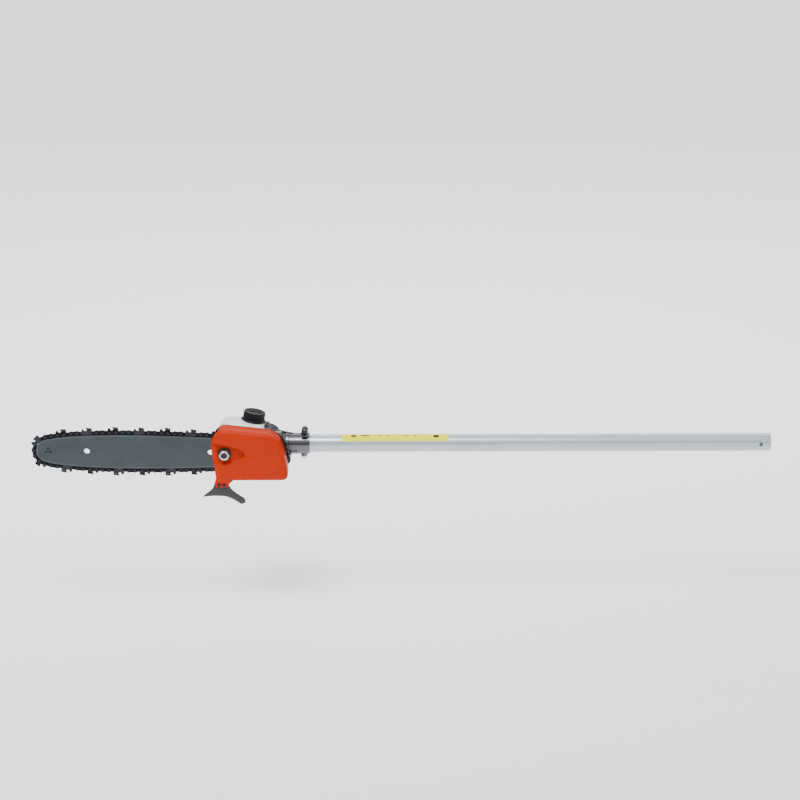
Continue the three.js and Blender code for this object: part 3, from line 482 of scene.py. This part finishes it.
zinc_steel = metal("zinc_plated", (0.6, 0.61, 0.6), 0.3, scale=1200, depth=0.02, spread=0.08)
black_steel = metal("black_oxide", (0.045, 0.045, 0.05), 0.4, scale=1300, depth=0.03, spread=0.2)
SCREWS = [
    *[(f"rear_cap_screw_{i}", "root", "y", at, 1.4, 29.8, 16, 2.4, 2.2, "steel")
      for i, at in enumerate(REAR_SCREWS, 1)],
    *[(f"plate_screw_{i}", "root", "y", (x, 0, z), 1.5, -30.3, -20.5, 3.2, 1.8, "steel")
      for i, (x, z) in enumerate(PLATE_SCREWS, 1)],
    *[(f"tank_screw_{i}", "root", "y", (x, 0, z), 1.9, -36.9, -20.5, 3.8, 2.6, "steel")
      for i, (x, z) in enumerate(TANK_SCREWS, 1)],
    *[(f"hook_screw_{i}", "cover", "y", (x, 0, z), 1.4, -54.9, -48, 2.5, 1.8, "dark_steel")
      for i, (x, z) in enumerate(HOOK_SCREWS, 1)],
    ("pinch_bolt", "root", "y", PINCH_BOLT, 3, -9.3, 15, 5, 6, "dark_steel"),
    ("locating_screw", "root", "z", LOCATING_SCREW, 2.4, -18.55, -11.2, 4, 3.4, "steel"),
    ("grease_plug", "root", "y", GREASE_PLUG, 2.6, -22.3, -13, 5.6, 3, "dark_steel"),
    ("tension_screw", "tensioner", "x", (0, TENSION_Y, TENSION_Z), 2.3, -66, -34, 3.6, 3, "steel"),
]
for node, body, axis, at, radius, seat, tip, head_radius, head, slot in SCREWS:
    place(socket_screw(axis, at, radius, seat, tip, head_radius, head), f"{node}_turned", body,
          zinc_steel if slot == "steel" else black_steel, [node])

# ---- Gears, bearings, spindle and oil pump ----
# Case-hardened steel gears and ground bearings inside the case, and the sintered pump that the
# spindle's worm drives.
dress(ground_steel, "drive_spindle", "input_pinion", "crown_gear", "input_bearing_1", "input_bearing_2",
      "spindle_bearing_1", "spindle_bearing_2", "oil_worm", "pump_plunger")
dress(black_steel, "bearing_circlip")
dress(black_rubber, "spindle_seal", "tank_grommet", "pickup_hose")
dress(sintered, "pump_body")

# ---- Drive sprocket, washer and clip ----
# A hardened spur sprocket slides on the spindle, behind a cupped washer and a spring clip.
dress(black_steel, "drive_sprocket", "sprocket_clip")
dress(zinc_steel, "sprocket_washer")

# ---- Guide bar ----
# A ground steel bar with grey lacquer, hardened bright rails with a groove for the chain's tangs,
# and a nose wheel on three rivets. It slides on the stud for tension.
BAR_TILT = math.radians(0.8)
FROM_BAR = Matrix.Translation((HEAD_X, 0, 0)) @ Matrix.Rotation(BAR_TILT, 4, "Y") @ FROM_TUBE_END
BAR_REACH = 310
BAR_Y = -44
BAR_HALF = 2.1
CHAIN_PITCH = 9.32
RIVET_RISE = 3.75
NOSE_TEETH = 7
NOSE_R = CHAIN_PITCH / (2 * math.sin(math.pi / (2 * NOSE_TEETH))) - RIVET_RISE
NOSE_LEAN = math.radians(14)
BAR_TAIL = -34
TAIL_HALF = 20.5
TAIL_CORNER = 6
GROOVE_HALF = 0.8
GROOVE_DEPTH = 5.7
TENSION_PIN_X = -46


def rail(out, count=48):
    """The upper rail moved out by a distance: one curve from the nose's arc to the tail."""
    start = Vector((-BAR_REACH - NOSE_R * math.sin(NOSE_LEAN), NOSE_R * math.cos(NOSE_LEAN)))
    knots = (start, start + Vector((math.cos(NOSE_LEAN), math.sin(NOSE_LEAN))) * 50,
             Vector((BAR_TAIL - 100, TAIL_HALF + 5)), Vector((BAR_TAIL, TAIL_HALF)))
    points = []
    for i in range(count + 1):
        t = i / count
        weights = ((1 - t) ** 3, 3 * t * (1 - t) ** 2, 3 * t * t * (1 - t), t ** 3)
        slopes = (-3 * (1 - t) ** 2, 3 * (1 - t) * (1 - 3 * t), 3 * t * (2 - 3 * t), 3 * t * t)
        at = sum((k * w for k, w in zip(knots, weights)), Vector((0, 0)))
        way = sum((k * s for k, s in zip(knots, slopes)), Vector((0, 0))).normalized()
        points.append(at + Vector((-way.y, way.x)) * out)
    return points


def nose(out, count=28):
    """The nose's arc moved out by a distance, without its two ends."""
    a = math.pi / 2 + NOSE_LEAN
    turns = [a + (2 * math.pi - 2 * a) * i / count for i in range(1, count)]
    return [Vector((-BAR_REACH + (NOSE_R + out) * math.cos(t), (NOSE_R + out) * math.sin(t)))
            for t in turns]


def mirrored(points):
    return [Vector((p.x, -p.y)) for p in points]


def bar_outline(inset):
    """The corners of the bar's outline, moved in by a distance."""
    top = rail(-inset)
    end = BAR_TAIL + TAIL_CORNER
    drop = TAIL_HALF - inset - TAIL_CORNER
    tail = [Vector((end - 1.6, drop + 4.4)), Vector((end, drop))]
    outline = [*reversed(top), *nose(-inset), *mirrored(top), *mirrored(tail), *reversed(tail)]
    return [(p.x, p.y, 0) for p in outline]


BAR_FRONT = BAR_Y - BAR_HALF
BAR_BACK = BAR_Y + BAR_HALF
GROOVE = (BAR_Y - GROOVE_HALF, BAR_Y + GROOVE_HALF)
THROUGH = (BAR_Y - 5, BAR_Y + 5)
NOSE_CENTRE = (-BAR_REACH, 0, 0)
bar = slab(bar_outline(0), BAR_FRONT, BAR_BACK)
groove = cut(slab(bar_outline(-2), *GROOVE), slab(bar_outline(GROOVE_DEPTH), BAR_Y - 2, BAR_Y + 2))
nose_pocket = rod("y", 17.4, *GROOVE, NOSE_CENTRE, sides=56)
slot = hulled(*[rod("y", 4.1, *THROUGH, (x, 0, 0), sides=32) for x in (-77.6, -42)])
pin_x = TENSION_PIN_X * math.cos(BAR_TILT) - TENSION_Z * math.sin(BAR_TILT)
pin_z = TENSION_PIN_X * math.sin(BAR_TILT) + TENSION_Z * math.cos(BAR_TILT)
NOSE_RIVETS = [(x - BAR_REACH, 0, z) for x, _, z in [round_y(3.2, a) for a in THIRDS]]
bar = cut(bar, groove, nose_pocket, slot,
          rod("y", 4.2, *THROUGH, (-254.6, 0, 0), sides=36),
          rod("y", 2.8, *THROUGH, (pin_x, 0, pin_z), sides=24),
          rod("y", 2.8, *THROUGH, (pin_x, 0, -pin_z), sides=24),
          *[rod("y", 1.2, *THROUGH, at, sides=16) for at in NOSE_RIVETS])
soften(bar, 0.25, 1, sharper_than=60)
lacquer = metal("bar_lacquer", (0.05, 0.06, 0.068), 0.38, grain=(0.05, 1, 1), scale=500, depth=0.03,
                spread=0.1, metallic=0.6)
place(bar, "bar_blade", "bar", lacquer, ["guide_bar"], at=FROM_BAR, smooth=30)

# Bright rail bands, where grinding has cleared the lacquer along the bar's two edges.
bands = [cut(slab(bar_outline(0.35), y - 0.06, y + 0.06), slab(bar_outline(2.3), y - 1, y + 1),
             block((BAR_TAIL - 4, y - 2, -40), (0, y + 2, 40)))
         for y in (BAR_FRONT, BAR_BACK)]
bright_rail = metal("rail_ground", (0.08, 0.093, 0.103), 0.36, grain=(0.03, 1, 1), scale=700, spread=0.1)
place(together(bands), "bar_rails", "bar", bright_rail, at=FROM_BAR)

RIVET = [(0, BAR_FRONT - 0.6), (1.1, BAR_FRONT - 0.6), (1.8, BAR_FRONT - 0.35), (2, BAR_FRONT - 0.05),
         (1, BAR_FRONT), (1, BAR_BACK), (2, BAR_BACK + 0.05), (1.8, BAR_BACK + 0.35),
         (1.1, BAR_BACK + 0.6), (0, BAR_BACK + 0.6)]
for number, at in enumerate(NOSE_RIVETS, 1):
    place(turned("y", RIVET, 24, centre=at), f"nose_pin_{number}", "bar", black_steel,
          [f"nose_rivet_{number}"], at=FROM_BAR)
dress(ground_steel, "nose_race", "nose_sprocket")

# ---- Saw chain ----
# Low-profile chain in black-oxide steel: drive links with tangs in the groove, tie straps in pairs,
# and a left or right cutter with its depth gauge at every second strap, all on ground rivets.
CHAIN_START = 13.2
SPROCKET_TEETH = 6
DRIVE_R = CHAIN_PITCH / (2 * math.sin(math.pi / (2 * SPROCKET_TEETH)))
WRAP_STEPS = 24


def chain_path():
    """The closed line of the rivets: round the sprocket's back, over the bar and round the nose."""
    run = rail(RIVET_RISE, 120)
    tail = run[-1]
    touch = math.atan2(tail.y, tail.x) - math.acos(DRIVE_R / tail.length)
    turns = [touch * i / WRAP_STEPS for i in range(WRAP_STEPS + 1)]
    wrap = [Vector((DRIVE_R * math.cos(t), DRIVE_R * math.sin(t))) for t in turns]
    half = [*wrap, *reversed(run)]
    back = mirrored(reversed(half))
    return [*half, *nose(RIVET_RISE, 40), *back[:-1]]


path = chain_path()
steps = [(path[(i + 1) % len(path)] - p).length for i, p in enumerate(path)]
path_length = sum(steps)
rivet_count = 2 * round(path_length / CHAIN_PITCH / 2)
rivet_step = path_length / rivet_count


def on_chain(distance):
    """The place on the loop at a distance round it."""
    left = distance % path_length
    for i, step in enumerate(steps):
        if left <= step:
            return path[i].lerp(path[(i + 1) % len(path)], left / step)
        left -= step
    return path[0]


def link_place(distance):
    """Turns a link made along +X, with +Z outwards, into its place round the loop."""
    back, ahead = on_chain(distance - rivet_step / 2), on_chain(distance + rivet_step / 2)
    way = (ahead - back).normalized()
    out = Vector((-way.y, way.x)) * -1
    middle = (back + ahead) / 2
    return Matrix(((way.x, 0, out.x, middle.x), (0, 1, 0, BAR_Y), (way.y, 0, out.y, middle.y),
                   (0, 0, 0, 1)))


def side_plate(points, front, back, edge=0.12):
    """A stamped plate of the chain, with its edges broken where edge isn't 0."""
    work = slab([(x, z, 0) for x, z in points], front, back)
    return soften(work, edge, 1, sharper_than=60) if edge else work


def repeated(link, distances):
    """A copy of one link's mesh at each distance round the loop."""
    held = bpy.data.meshes.new("working")
    link.to_mesh(held)
    link.free()
    whole = bmesh.new()
    for distance in distances:
        start = len(whole.verts)
        whole.from_mesh(held)
        whole.verts.ensure_lookup_table()
        bmesh.ops.transform(whole, matrix=link_place(distance), verts=whole.verts[start:])
    bpy.data.meshes.remove(held)
    return whole


HALF_PITCH = CHAIN_PITCH / 2
INNER = 0.8
OUTER = 1.95
drive_link = side_plate([(-7.4, 0.4), (-6.4, 2.5), (-HALF_PITCH, 3.1), (-2.6, 2.2), (2.6, 2.2),
                         (HALF_PITCH, 3.1), (6.4, 2.5), (7.4, 0.4), (6.8, -2.4), (HALF_PITCH, -3.3),
                         (3.4, -4.4), (1.5, -8.6), (0.2, -8.8), (-1.6, -7.4), (-2.9, -8.2),
                         (-3.9, -4.6), (-HALF_PITCH, -3.3), (-6.8, -2.4)], -0.65, 0.65)
BELOW = [(7.2, -1.9), (HALF_PITCH, -3.1), (2.4, -2.9), (-2.4, -2.9), (-HALF_PITCH, -3.1), (-7.2, -1.9)]
STRAP = [(-7.8, 0), (-7.2, 1.9), (-HALF_PITCH, 3.2), (-2.4, 2.4), (2.4, 2.4), (HALF_PITCH, 3.2),
         (7.2, 1.9), (7.8, 0), *BELOW]
TOOTH = [(-7.8, 0), (-8.1, 3.4), (-7.9, 5.6), (-1.6, 6.5), (0.2, 6.6), (-0.5, 5.2), (-0.1, 3.4),
         (1.4, 2.5), (2.9, 3.1), (4.3, 5.7), (5.7, 6.0), (7.2, 4.6), (7.9, 1.2), *BELOW]
CHEEK = [(-7.9, 2.8), (-7.9, 5.9), (-1.2, 6.7), (0.1, 6.7), (-0.5, 4.6), (-1.4, 2.8)]
BLADE = [(-7.9, 5.4), (-7.9, 6.2), (-1.2, 7.0), (0.5, 7.0), (0.2, 6.2)]


def cutter(side):
    """A cutter: its side plate with the depth gauge, its outer cheek, and the blade over the top."""
    def span(a, b):
        return sorted((a * side, b * side))
    return together([side_plate(TOOTH, *span(INNER, OUTER)),
                     side_plate(CHEEK, *span(1.9, 3.4), edge=0.2),
                     side_plate(BLADE, *span(-1.3, 3.4), edge=0)])


drive_at = [CHAIN_START + i * rivet_step for i in range(0, rivet_count, 2)]
strap_at = [CHAIN_START + (i + 1) * rivet_step for i in range(0, rivet_count, 2)]
rivet_at = [CHAIN_START + (i + 0.5) * rivet_step for i in range(rivet_count)]
plain_at = strap_at[1::2]
left_at = strap_at[::4]
right_at = strap_at[2::4]
chain_steel = metal("chain_steel", (0.011, 0.012, 0.015), 0.34, scale=1300, depth=0.03, spread=0.25)
edge_steel = metal("cutter_steel", (0.035, 0.037, 0.042), 0.28, scale=900, depth=0.02, spread=0.15)
straps = together([repeated(side_plate(STRAP, INNER, OUTER), [*plain_at, *right_at]),
                   repeated(side_plate(STRAP, -OUTER, -INNER), [*plain_at, *left_at])])
cutters = together([repeated(cutter(1), left_at), repeated(cutter(-1), right_at)])
pin = turned("y", [(0, -2.35), (1.5, -2.35), (1.9, -2.1), (1.9, 2.1), (1.5, 2.35), (0, 2.35)], 12)
for name, work, finish in (("chain_drive_links", repeated(drive_link, drive_at), chain_steel),
                           ("chain_straps", straps, chain_steel),
                           ("chain_cutters", cutters, edge_steel),
                           ("chain_rivets", repeated(pin, rivet_at), edge_steel)):
    piece = place(work, name, None, finish, ["saw_chain"], at=FROM_BAR, smooth=25)
    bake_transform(piece)

# ---- Bar stud and guide plates ----
# A threaded stud pressed in the case carries the bar. A thin steel plate lies on either side of the
# bar's tail, and a block with a pin, drawn by the tension screw, moves the bar.
STUD_R = 3.85
STUD_PITCH = 1.25
STUD_TURNS = 15
stud_profile = [(0, -59.2), (3.1, -59.2), (STUD_R, -58.5)]
for turn in range(STUD_TURNS):
    start = -58.4 + turn * STUD_PITCH
    stud_profile += [(3.3, start + 0.62), (STUD_R, start + STUD_PITCH)]
stud_profile += [(STUD_R, -29.4), (0, -29.4)]
stud = turned("y", stud_profile, 40, centre=BOLT)
place(stud, "bar_stud_threaded", "root", black_steel, ["bar_stud"])
dress(zinc_steel, "inner_guide_plate", "outer_guide_plate", "tension_block")

# ---- Back plate ----
# A flat plate moulded in black plastic, behind the cover, that closes the drive and meets the
# cover's rim. Two screws hold it to the tank's sockets.
black_plastic = moulded("black_plastic", (0.006, 0.006, 0.009), 0.42, scale=1100, depth=0.04, shine=0.25)
dress(black_plastic, "back_plate")

# ---- Sprocket cover ----
# An orange moulded cover, 2.2 mm thick, with a full round along its rim and a sunk teardrop pad for the
# bar nut. It lifts off forwards with the hook and the nut.
COVER = [(33.6, -39, 8.5), (33, -19, 6), (26.5, 9, 6), (22, 21, 5), (11, 30, 6), (-8, 32.8, 8),
         (-64, 39, 10), (-73.5, 26, 5), (-76.6, 15, 5), (-75, 0, 6), (-71.4, -26, 4), (-70.6, -39, 8.5)]
RECESS = [(-92, 21.5, 0), (-72, 18.8, 6), (-34, 9, 6), (-26, 1, 5), (-34, -7.5, 6), (-72, -16.8, 6),
          (-92, -19, 0)]
LUG = [(-70.6, -34, 2.5), (-43, -34, 2.5), (-45.5, -38.9, 2.5), (-51, -42.4, 2.5), (-52.6, -47.6, 2.5),
       (-70.8, -47.6, 2.5)]
COVER_FRONT = -58
COVER_RIM = -30.3
WALL = 2.2
RIM_ROUND = 7.2
FLOOR_Y = -52
LUG_BACK = -48
HOOK_HOLE_R = 1.7


def on_face(y):
    """Picks the edges that lie in the plane at y."""
    return lambda edge: all(abs(v.co.y - y) < 1e-3 for v in edge.verts)


def cover_form(front, grow, rounding, rim=COVER_RIM):
    """The cover's outline as a block from front to rim, with a full round on its front edge."""
    work = slab(COVER, front, rim, arc=8, grow=grow)
    return soften(work, rounding, 6, sharper_than=60, only=on_face(front))


shell = cut(cover_form(COVER_FRONT, 0, RIM_ROUND),
            cover_form(COVER_FRONT + WALL, -WALL, RIM_ROUND - WALL, COVER_RIM + 5))
floor_pad = combined("INTERSECT", slab(RECESS, COVER_FRONT + 0.8, FLOOR_Y + WALL, arc=8, grow=3.6),
                     [cover_form(COVER_FRONT, 0, RIM_ROUND)])
ring_mark = cut(rod("y", 13.2, FLOOR_Y - 0.5, FLOOR_Y + 1, BOLT, sides=64),
                rod("y", 12.2, FLOOR_Y - 2, FLOOR_Y + 2, BOLT, sides=64))
cover = join(shell, floor_pad)
lip_y = COVER_FRONT + 2
cover = cut(cover, soften(slab(RECESS, COVER_FRONT - 3, FLOOR_Y, arc=8), 2.6, 5, sharper_than=60,
                          only=on_face(FLOOR_Y)),
            soften(slab(RECESS, COVER_FRONT - 3, lip_y, arc=8, grow=1.5), 1.8, 4, sharper_than=60,
                   only=on_face(lip_y)))
ribs = [block((-20, -56.2, 20), (-18, -33, 31)), block((8, -56.2, 18), (10, -33, 26)),
        block((18, -56.2, -36), (20, -33, -20))]
cover = join(cover, ring_mark, rod("y", 11, FLOOR_Y + 1, -47.8, BOLT, sides=56),
             slab(LUG, COVER_FRONT + 1.2, FLOOR_Y - 0.3), *ribs)
cover = cut(cover, block((-92, FLOOR_Y + WALL + 0.3, -32.5), (-62, 0, 35)),
            rod("y", 4.3, COVER_FRONT - 1, 0, BOLT, sides=32),
            *[rod("y", HOOK_HOLE_R, COVER_FRONT - 2, LUG_BACK, (x, 0, z), sides=20)
              for x, z in HOOK_SCREWS],
            *[rod("y", 2.9, COVER_FRONT - 2, COVER_FRONT + 3.4, (x, 0, z), sides=28)
              for x, z in HOOK_SCREWS])
soften(cover, 0.6, 3, sharper_than=35)
orange = moulded("orange_plastic", (0.47, 0.022, 0.0), 0.4, scale=1000, depth=0.02, spread=0.03,
                 shine=0.1)
place(cover, "cover_moulding", "cover", orange, ["sprocket_cover"], smooth=35)

# ---- Limb hook ----
# A die-cast hook, powder-coated grey, screwed behind the cover's lug. It pulls cut branches down and
# rests on the branch during a cut.
HOOK = [(-71.5, -40.4, 1), (-53.5, -40.4, 1), (-51, -49.5, 3), (-46, -55.6, 3), (-37.8, -61.8, 4),
        (-29.4, -67.6, 2), (-28, -72.6, 1.5), (-34.5, -75.4, 2), (-47, -66.5, 6), (-58, -62.8, 5),
        (-76, -62.4, 6), (-89.5, -63.8, 0.6), (-75, -52, 4)]
HOOK_SEAT_Z = -40.8
hook = cut(slab(HOOK, FLOOR_Y, LUG_BACK, arc=8),
           *[rod("y", HOOK_HOLE_R, -56, -44, (x, 0, z), sides=20) for x, z in HOOK_SCREWS])
soften(hook, 0.9, 3, sharper_than=50, only=lambda e: max(v.co.z for v in e.verts) < HOOK_SEAT_Z)
powder_grey = moulded("powder_grey", (0.04, 0.039, 0.041), 0.42, scale=1500, depth=0.06, spread=0.08,
                      shine=0.35)
place(hook, "hook_casting", "cover", powder_grey, ["limb_hook"], smooth=40)

# ---- Bar nut and washer ----
# A plated M8 hexagon nut on a broad black washer clamps the cover and the bar.
NUT_SEAT = FLOOR_Y - 0.3
WASHER_R = 9.8
washer = turned("y", [(4.3, NUT_SEAT - 1.6), (8.6, NUT_SEAT - 1.6), (9.5, NUT_SEAT - 1.3),
                      (WASHER_R, NUT_SEAT - 0.9), (WASHER_R, NUT_SEAT), (4.3, NUT_SEAT)], 56,
                closed=True, centre=BOLT)
place(washer, "washer_stamped", "nut_washer", black_steel, ["nut_washer"])
NUT_PITCH = 1.15
NUT_TURNS = 5
nut_low = NUT_SEAT - 8.4
nut_high = NUT_SEAT - 1.9
hexagon = rod("y", 7.5, nut_low, nut_high, BOLT, sides=6)
crown = turned("y", [(0, nut_low), (6.1, nut_low), (7.6, nut_low + 0.9), (7.6, nut_high),
                     (0, nut_high)], 64, centre=BOLT)
nut = combined("INTERSECT", hexagon, [crown])
thread = [(0, nut_low - 1), (4.9, nut_low - 0.1), (4.3, nut_low + 0.6)]
for turn in range(NUT_TURNS):
    start = nut_low + 0.6 + turn * NUT_PITCH
    thread += [(4.55, start + 0.3), (4.2, start + 0.9)]
thread += [(4.3, nut_high - 0.2), (4.8, nut_high + 0.2), (0, nut_high + 1)]
nut = cut(nut, turned("y", thread, 32, centre=BOLT))
soften(nut, 0.2, 2, sharper_than=50)
place(nut, "nut_hexagon", "nut", zinc_steel, ["bar_nut"], smooth=30)

# ---- Oil tank ----
# A blow-moulded tank in natural polyethylene sits behind the cover, round the gear case. Chain oil
# fills it by a short neck on the top.
TANK = [(-70, -33, 8), (-70, 24, 7), (-58, 35, 7), (-33, 35, 8), (-3, 29.7, 6), (-3, 0, 6),
        (-14, -20, 6), (-22, -33, 7)]
TANK_FRONT = PAD_BACK
TANK_BACK = 22
NECK = Matrix.Translation((-18.4, 8, 32.4)) @ Matrix.Rotation(math.radians(10), 4, "Y")


def on_neck(work):
    """Sets a mesh made about its own Z axis on the tank's leaning neck."""
    bmesh.ops.transform(work, matrix=NECK, verts=work.verts)
    return work


def tank_block(front, back, grow, rounding):
    """The tank's outline as a block, with its front and back edges rounded."""
    work = slab(TANK, front, back, arc=7, grow=grow)
    return soften(work, rounding, 5, sharper_than=60,
                  only=lambda e: on_face(front)(e) or on_face(back)(e))


TANK_WALL = 2
CASE_CLEAR_R = 23
tank_sockets = [*TANK_SCREWS, *PLATE_SCREWS]
seam = soften(slab(TANK, -3.6, -2.0, arc=7, grow=0.9), 0.4, 2, sharper_than=60)
outer = join(tank_block(TANK_FRONT, TANK_BACK, 0, 4), seam)
outer = join(cut(outer, rod("y", CASE_CLEAR_R, -60, 60, sides=72)),
             on_neck(rod("z", 13, -4, 7.5, sides=56)))
inner = cut(tank_block(TANK_FRONT + TANK_WALL, TANK_BACK - TANK_WALL, -TANK_WALL, 2.2),
            rod("y", CASE_CLEAR_R + TANK_WALL, -60, 60, sides=72))
tank = join(cut(outer, inner), *[rod("y", 4.2, TANK_FRONT + 0.5, TANK_FRONT + 9, (x, 0, z), sides=28)
                                 for x, z in tank_sockets])
tank = cut(tank, on_neck(rod("z", 10.6, -6, 9, sides=56)),
           rod("y", 3.2, TANK_FRONT - 1, TANK_FRONT + 4, OIL_PORT, sides=24),
           *[rod("y", 2.2, TANK_FRONT - 1, TANK_FRONT + 8, (x, 0, z), sides=20)
             for x, z in tank_sockets])
soften(tank, 0.3, 1, sharper_than=50)
milky = moulded("milky_plastic", (0.92, 0.93, 0.88), 0.33, scale=300, depth=0.05, spread=0.03,
                under=0.35)
place(tank, "tank_moulding", "root", milky, ["oil_tank"], smooth=35)
dress(black_rubber, "cap_gasket")
felt = moulded("oil_felt", (0.6, 0.56, 0.44), 0.9, scale=1500, depth=0.3, spread=0.1)
dress(felt, "oil_filter")

# ---- Filler cap ----
# A black moulded screw cap with grip flutes down its side and a low bar across its dished top.
CAP_TOP = 14.3
FLUTES = 14
FLUTE_CIRCLE_R = 17.2
filler = turned("z", [(0, CAP_TOP - 0.9), (10, CAP_TOP - 0.9), (11.2, CAP_TOP), (14.2, CAP_TOP),
                      (15.3, CAP_TOP - 0.5), (15.9, CAP_TOP - 1.6), (16.2, 2.6), (18, 1.6), (18, 0.8),
                      (13.6, 0.8), (13.6, CAP_TOP - 3.2), (0, CAP_TOP - 3.2)], 96)
turns = [2 * math.pi * i / FLUTES for i in range(FLUTES)]
filler = cut(filler, *[rod("z", 2.1, 3.4, CAP_TOP + 2,
                           (FLUTE_CIRCLE_R * math.cos(t), FLUTE_CIRCLE_R * math.sin(t), 0), sides=20)
                       for t in turns])
grip = soften(block((-8.6, -1.5, CAP_TOP - 1.2), (8.6, 1.5, CAP_TOP + 0.4)), 0.7, 3, sharper_than=50)
filler = join(filler, grip)
soften(filler, 0.25, 2, sharper_than=45)
place(on_neck(filler), "cap_moulding", "cap", black_plastic, ["filler_cap"], smooth=35)

# ---- Floor, light and camera ----
# A wide pale floor that glows towards its far side, three soft lights round the saw, and a camera
# in front of it and a little above.
FLOOR_Z = cad_box[0][2] - 0.16
room = bmesh.new()
bmesh.ops.create_grid(room, x_segments=1, y_segments=1, size=40)
floor_mesh = bpy.data.meshes.new("floor")
room.to_mesh(floor_mesh)
room.free()
floor = bpy.data.objects.new("floor", floor_mesh)
floor_mesh.transform(Matrix.Translation((HEAD_X / 2, 0, FLOOR_Z)))
bpy.context.scene.collection.objects.link(floor)
pale, tree, shader, surface = new_finish("pale_floor")
shader.inputs["Base Color"].default_value = (0.93, 0.93, 0.93, 1)
shader.inputs["Roughness"].default_value = 0.8
shader.inputs["Emission Color"].default_value = (1, 1, 1, 1)
reach = add_node(tree, "SeparateXYZ", surface)
glow = add_node(tree, "MapRange", From_Min=-0.9, From_Max=0.8, To_Min=0.1, To_Max=0.95)
tree.links.new(reach.outputs["Y"], glow.inputs["Value"])
tree.links.new(glow.outputs["Result"], shader.inputs["Emission Strength"])
floor_mesh.materials.append(pale)

world = bpy.data.worlds.new("studio")
bpy.context.scene.world = world
world.use_nodes = True
sky = world.node_tree
height = add_node(sky, "SeparateXYZ", add_node(sky, "TexCoord").outputs["Generated"])
dome = add_node(sky, "ValToRGB")
dome.color_ramp.elements[0].position = 0.18
dome.color_ramp.elements[0].color = (0.1, 0.1, 0.105, 1)
dome.color_ramp.elements[1].position = 0.62
dome.color_ramp.elements[1].color = (1, 1, 1, 1)
sky.links.new(height.outputs["Z"], dome.inputs["Fac"])
sky.links.new(dome.outputs["Color"], sky.nodes["Background"].inputs["Color"])
sky.nodes["Background"].inputs["Strength"].default_value = 1.0
AIM = Vector((-0.5371, -0.02, 0.0713))


def soft_light(name, position, size, power):
    """A rectangular lamp turned towards the middle of the saw."""
    light = bpy.data.lights.new(name, "AREA")
    light.shape = "RECTANGLE"
    light.size, light.size_y = size
    light.energy = power
    lamp = bpy.data.objects.new(name, light)
    lamp.location = position
    lamp.rotation_euler = (AIM - Vector(position)).to_track_quat("-Z", "Y").to_euler()
    bpy.context.scene.collection.objects.link(lamp)


soft_light("key", (-1.2, -1.0, 2.4), (1.5, 0.8), 76)
soft_light("fill", (1.4, -2.0, 1.0), (1.6, 1.2), 5)
soft_light("back", (-0.4, 2.2, 1.8), (2.4, 0.8), 26)

ELEVATION = math.radians(17)
DISTANCE = 3.3
ROLL = math.radians(-0.16)
camera_data = bpy.data.cameras.new("camera")
camera_data.lens = 103.5
camera_data.sensor_width = 36
camera = bpy.data.objects.new("camera", camera_data)
camera.location = AIM + Vector((0, -math.cos(ELEVATION), math.sin(ELEVATION))) * DISTANCE
camera.rotation_mode = "QUATERNION"
roll = Matrix.Rotation(ROLL, 4, "Z").to_quaternion()
camera.rotation_quaternion = (AIM - camera.location).to_track_quat("-Z", "Y") @ roll
bpy.context.scene.collection.objects.link(camera)
bpy.context.scene.camera = camera
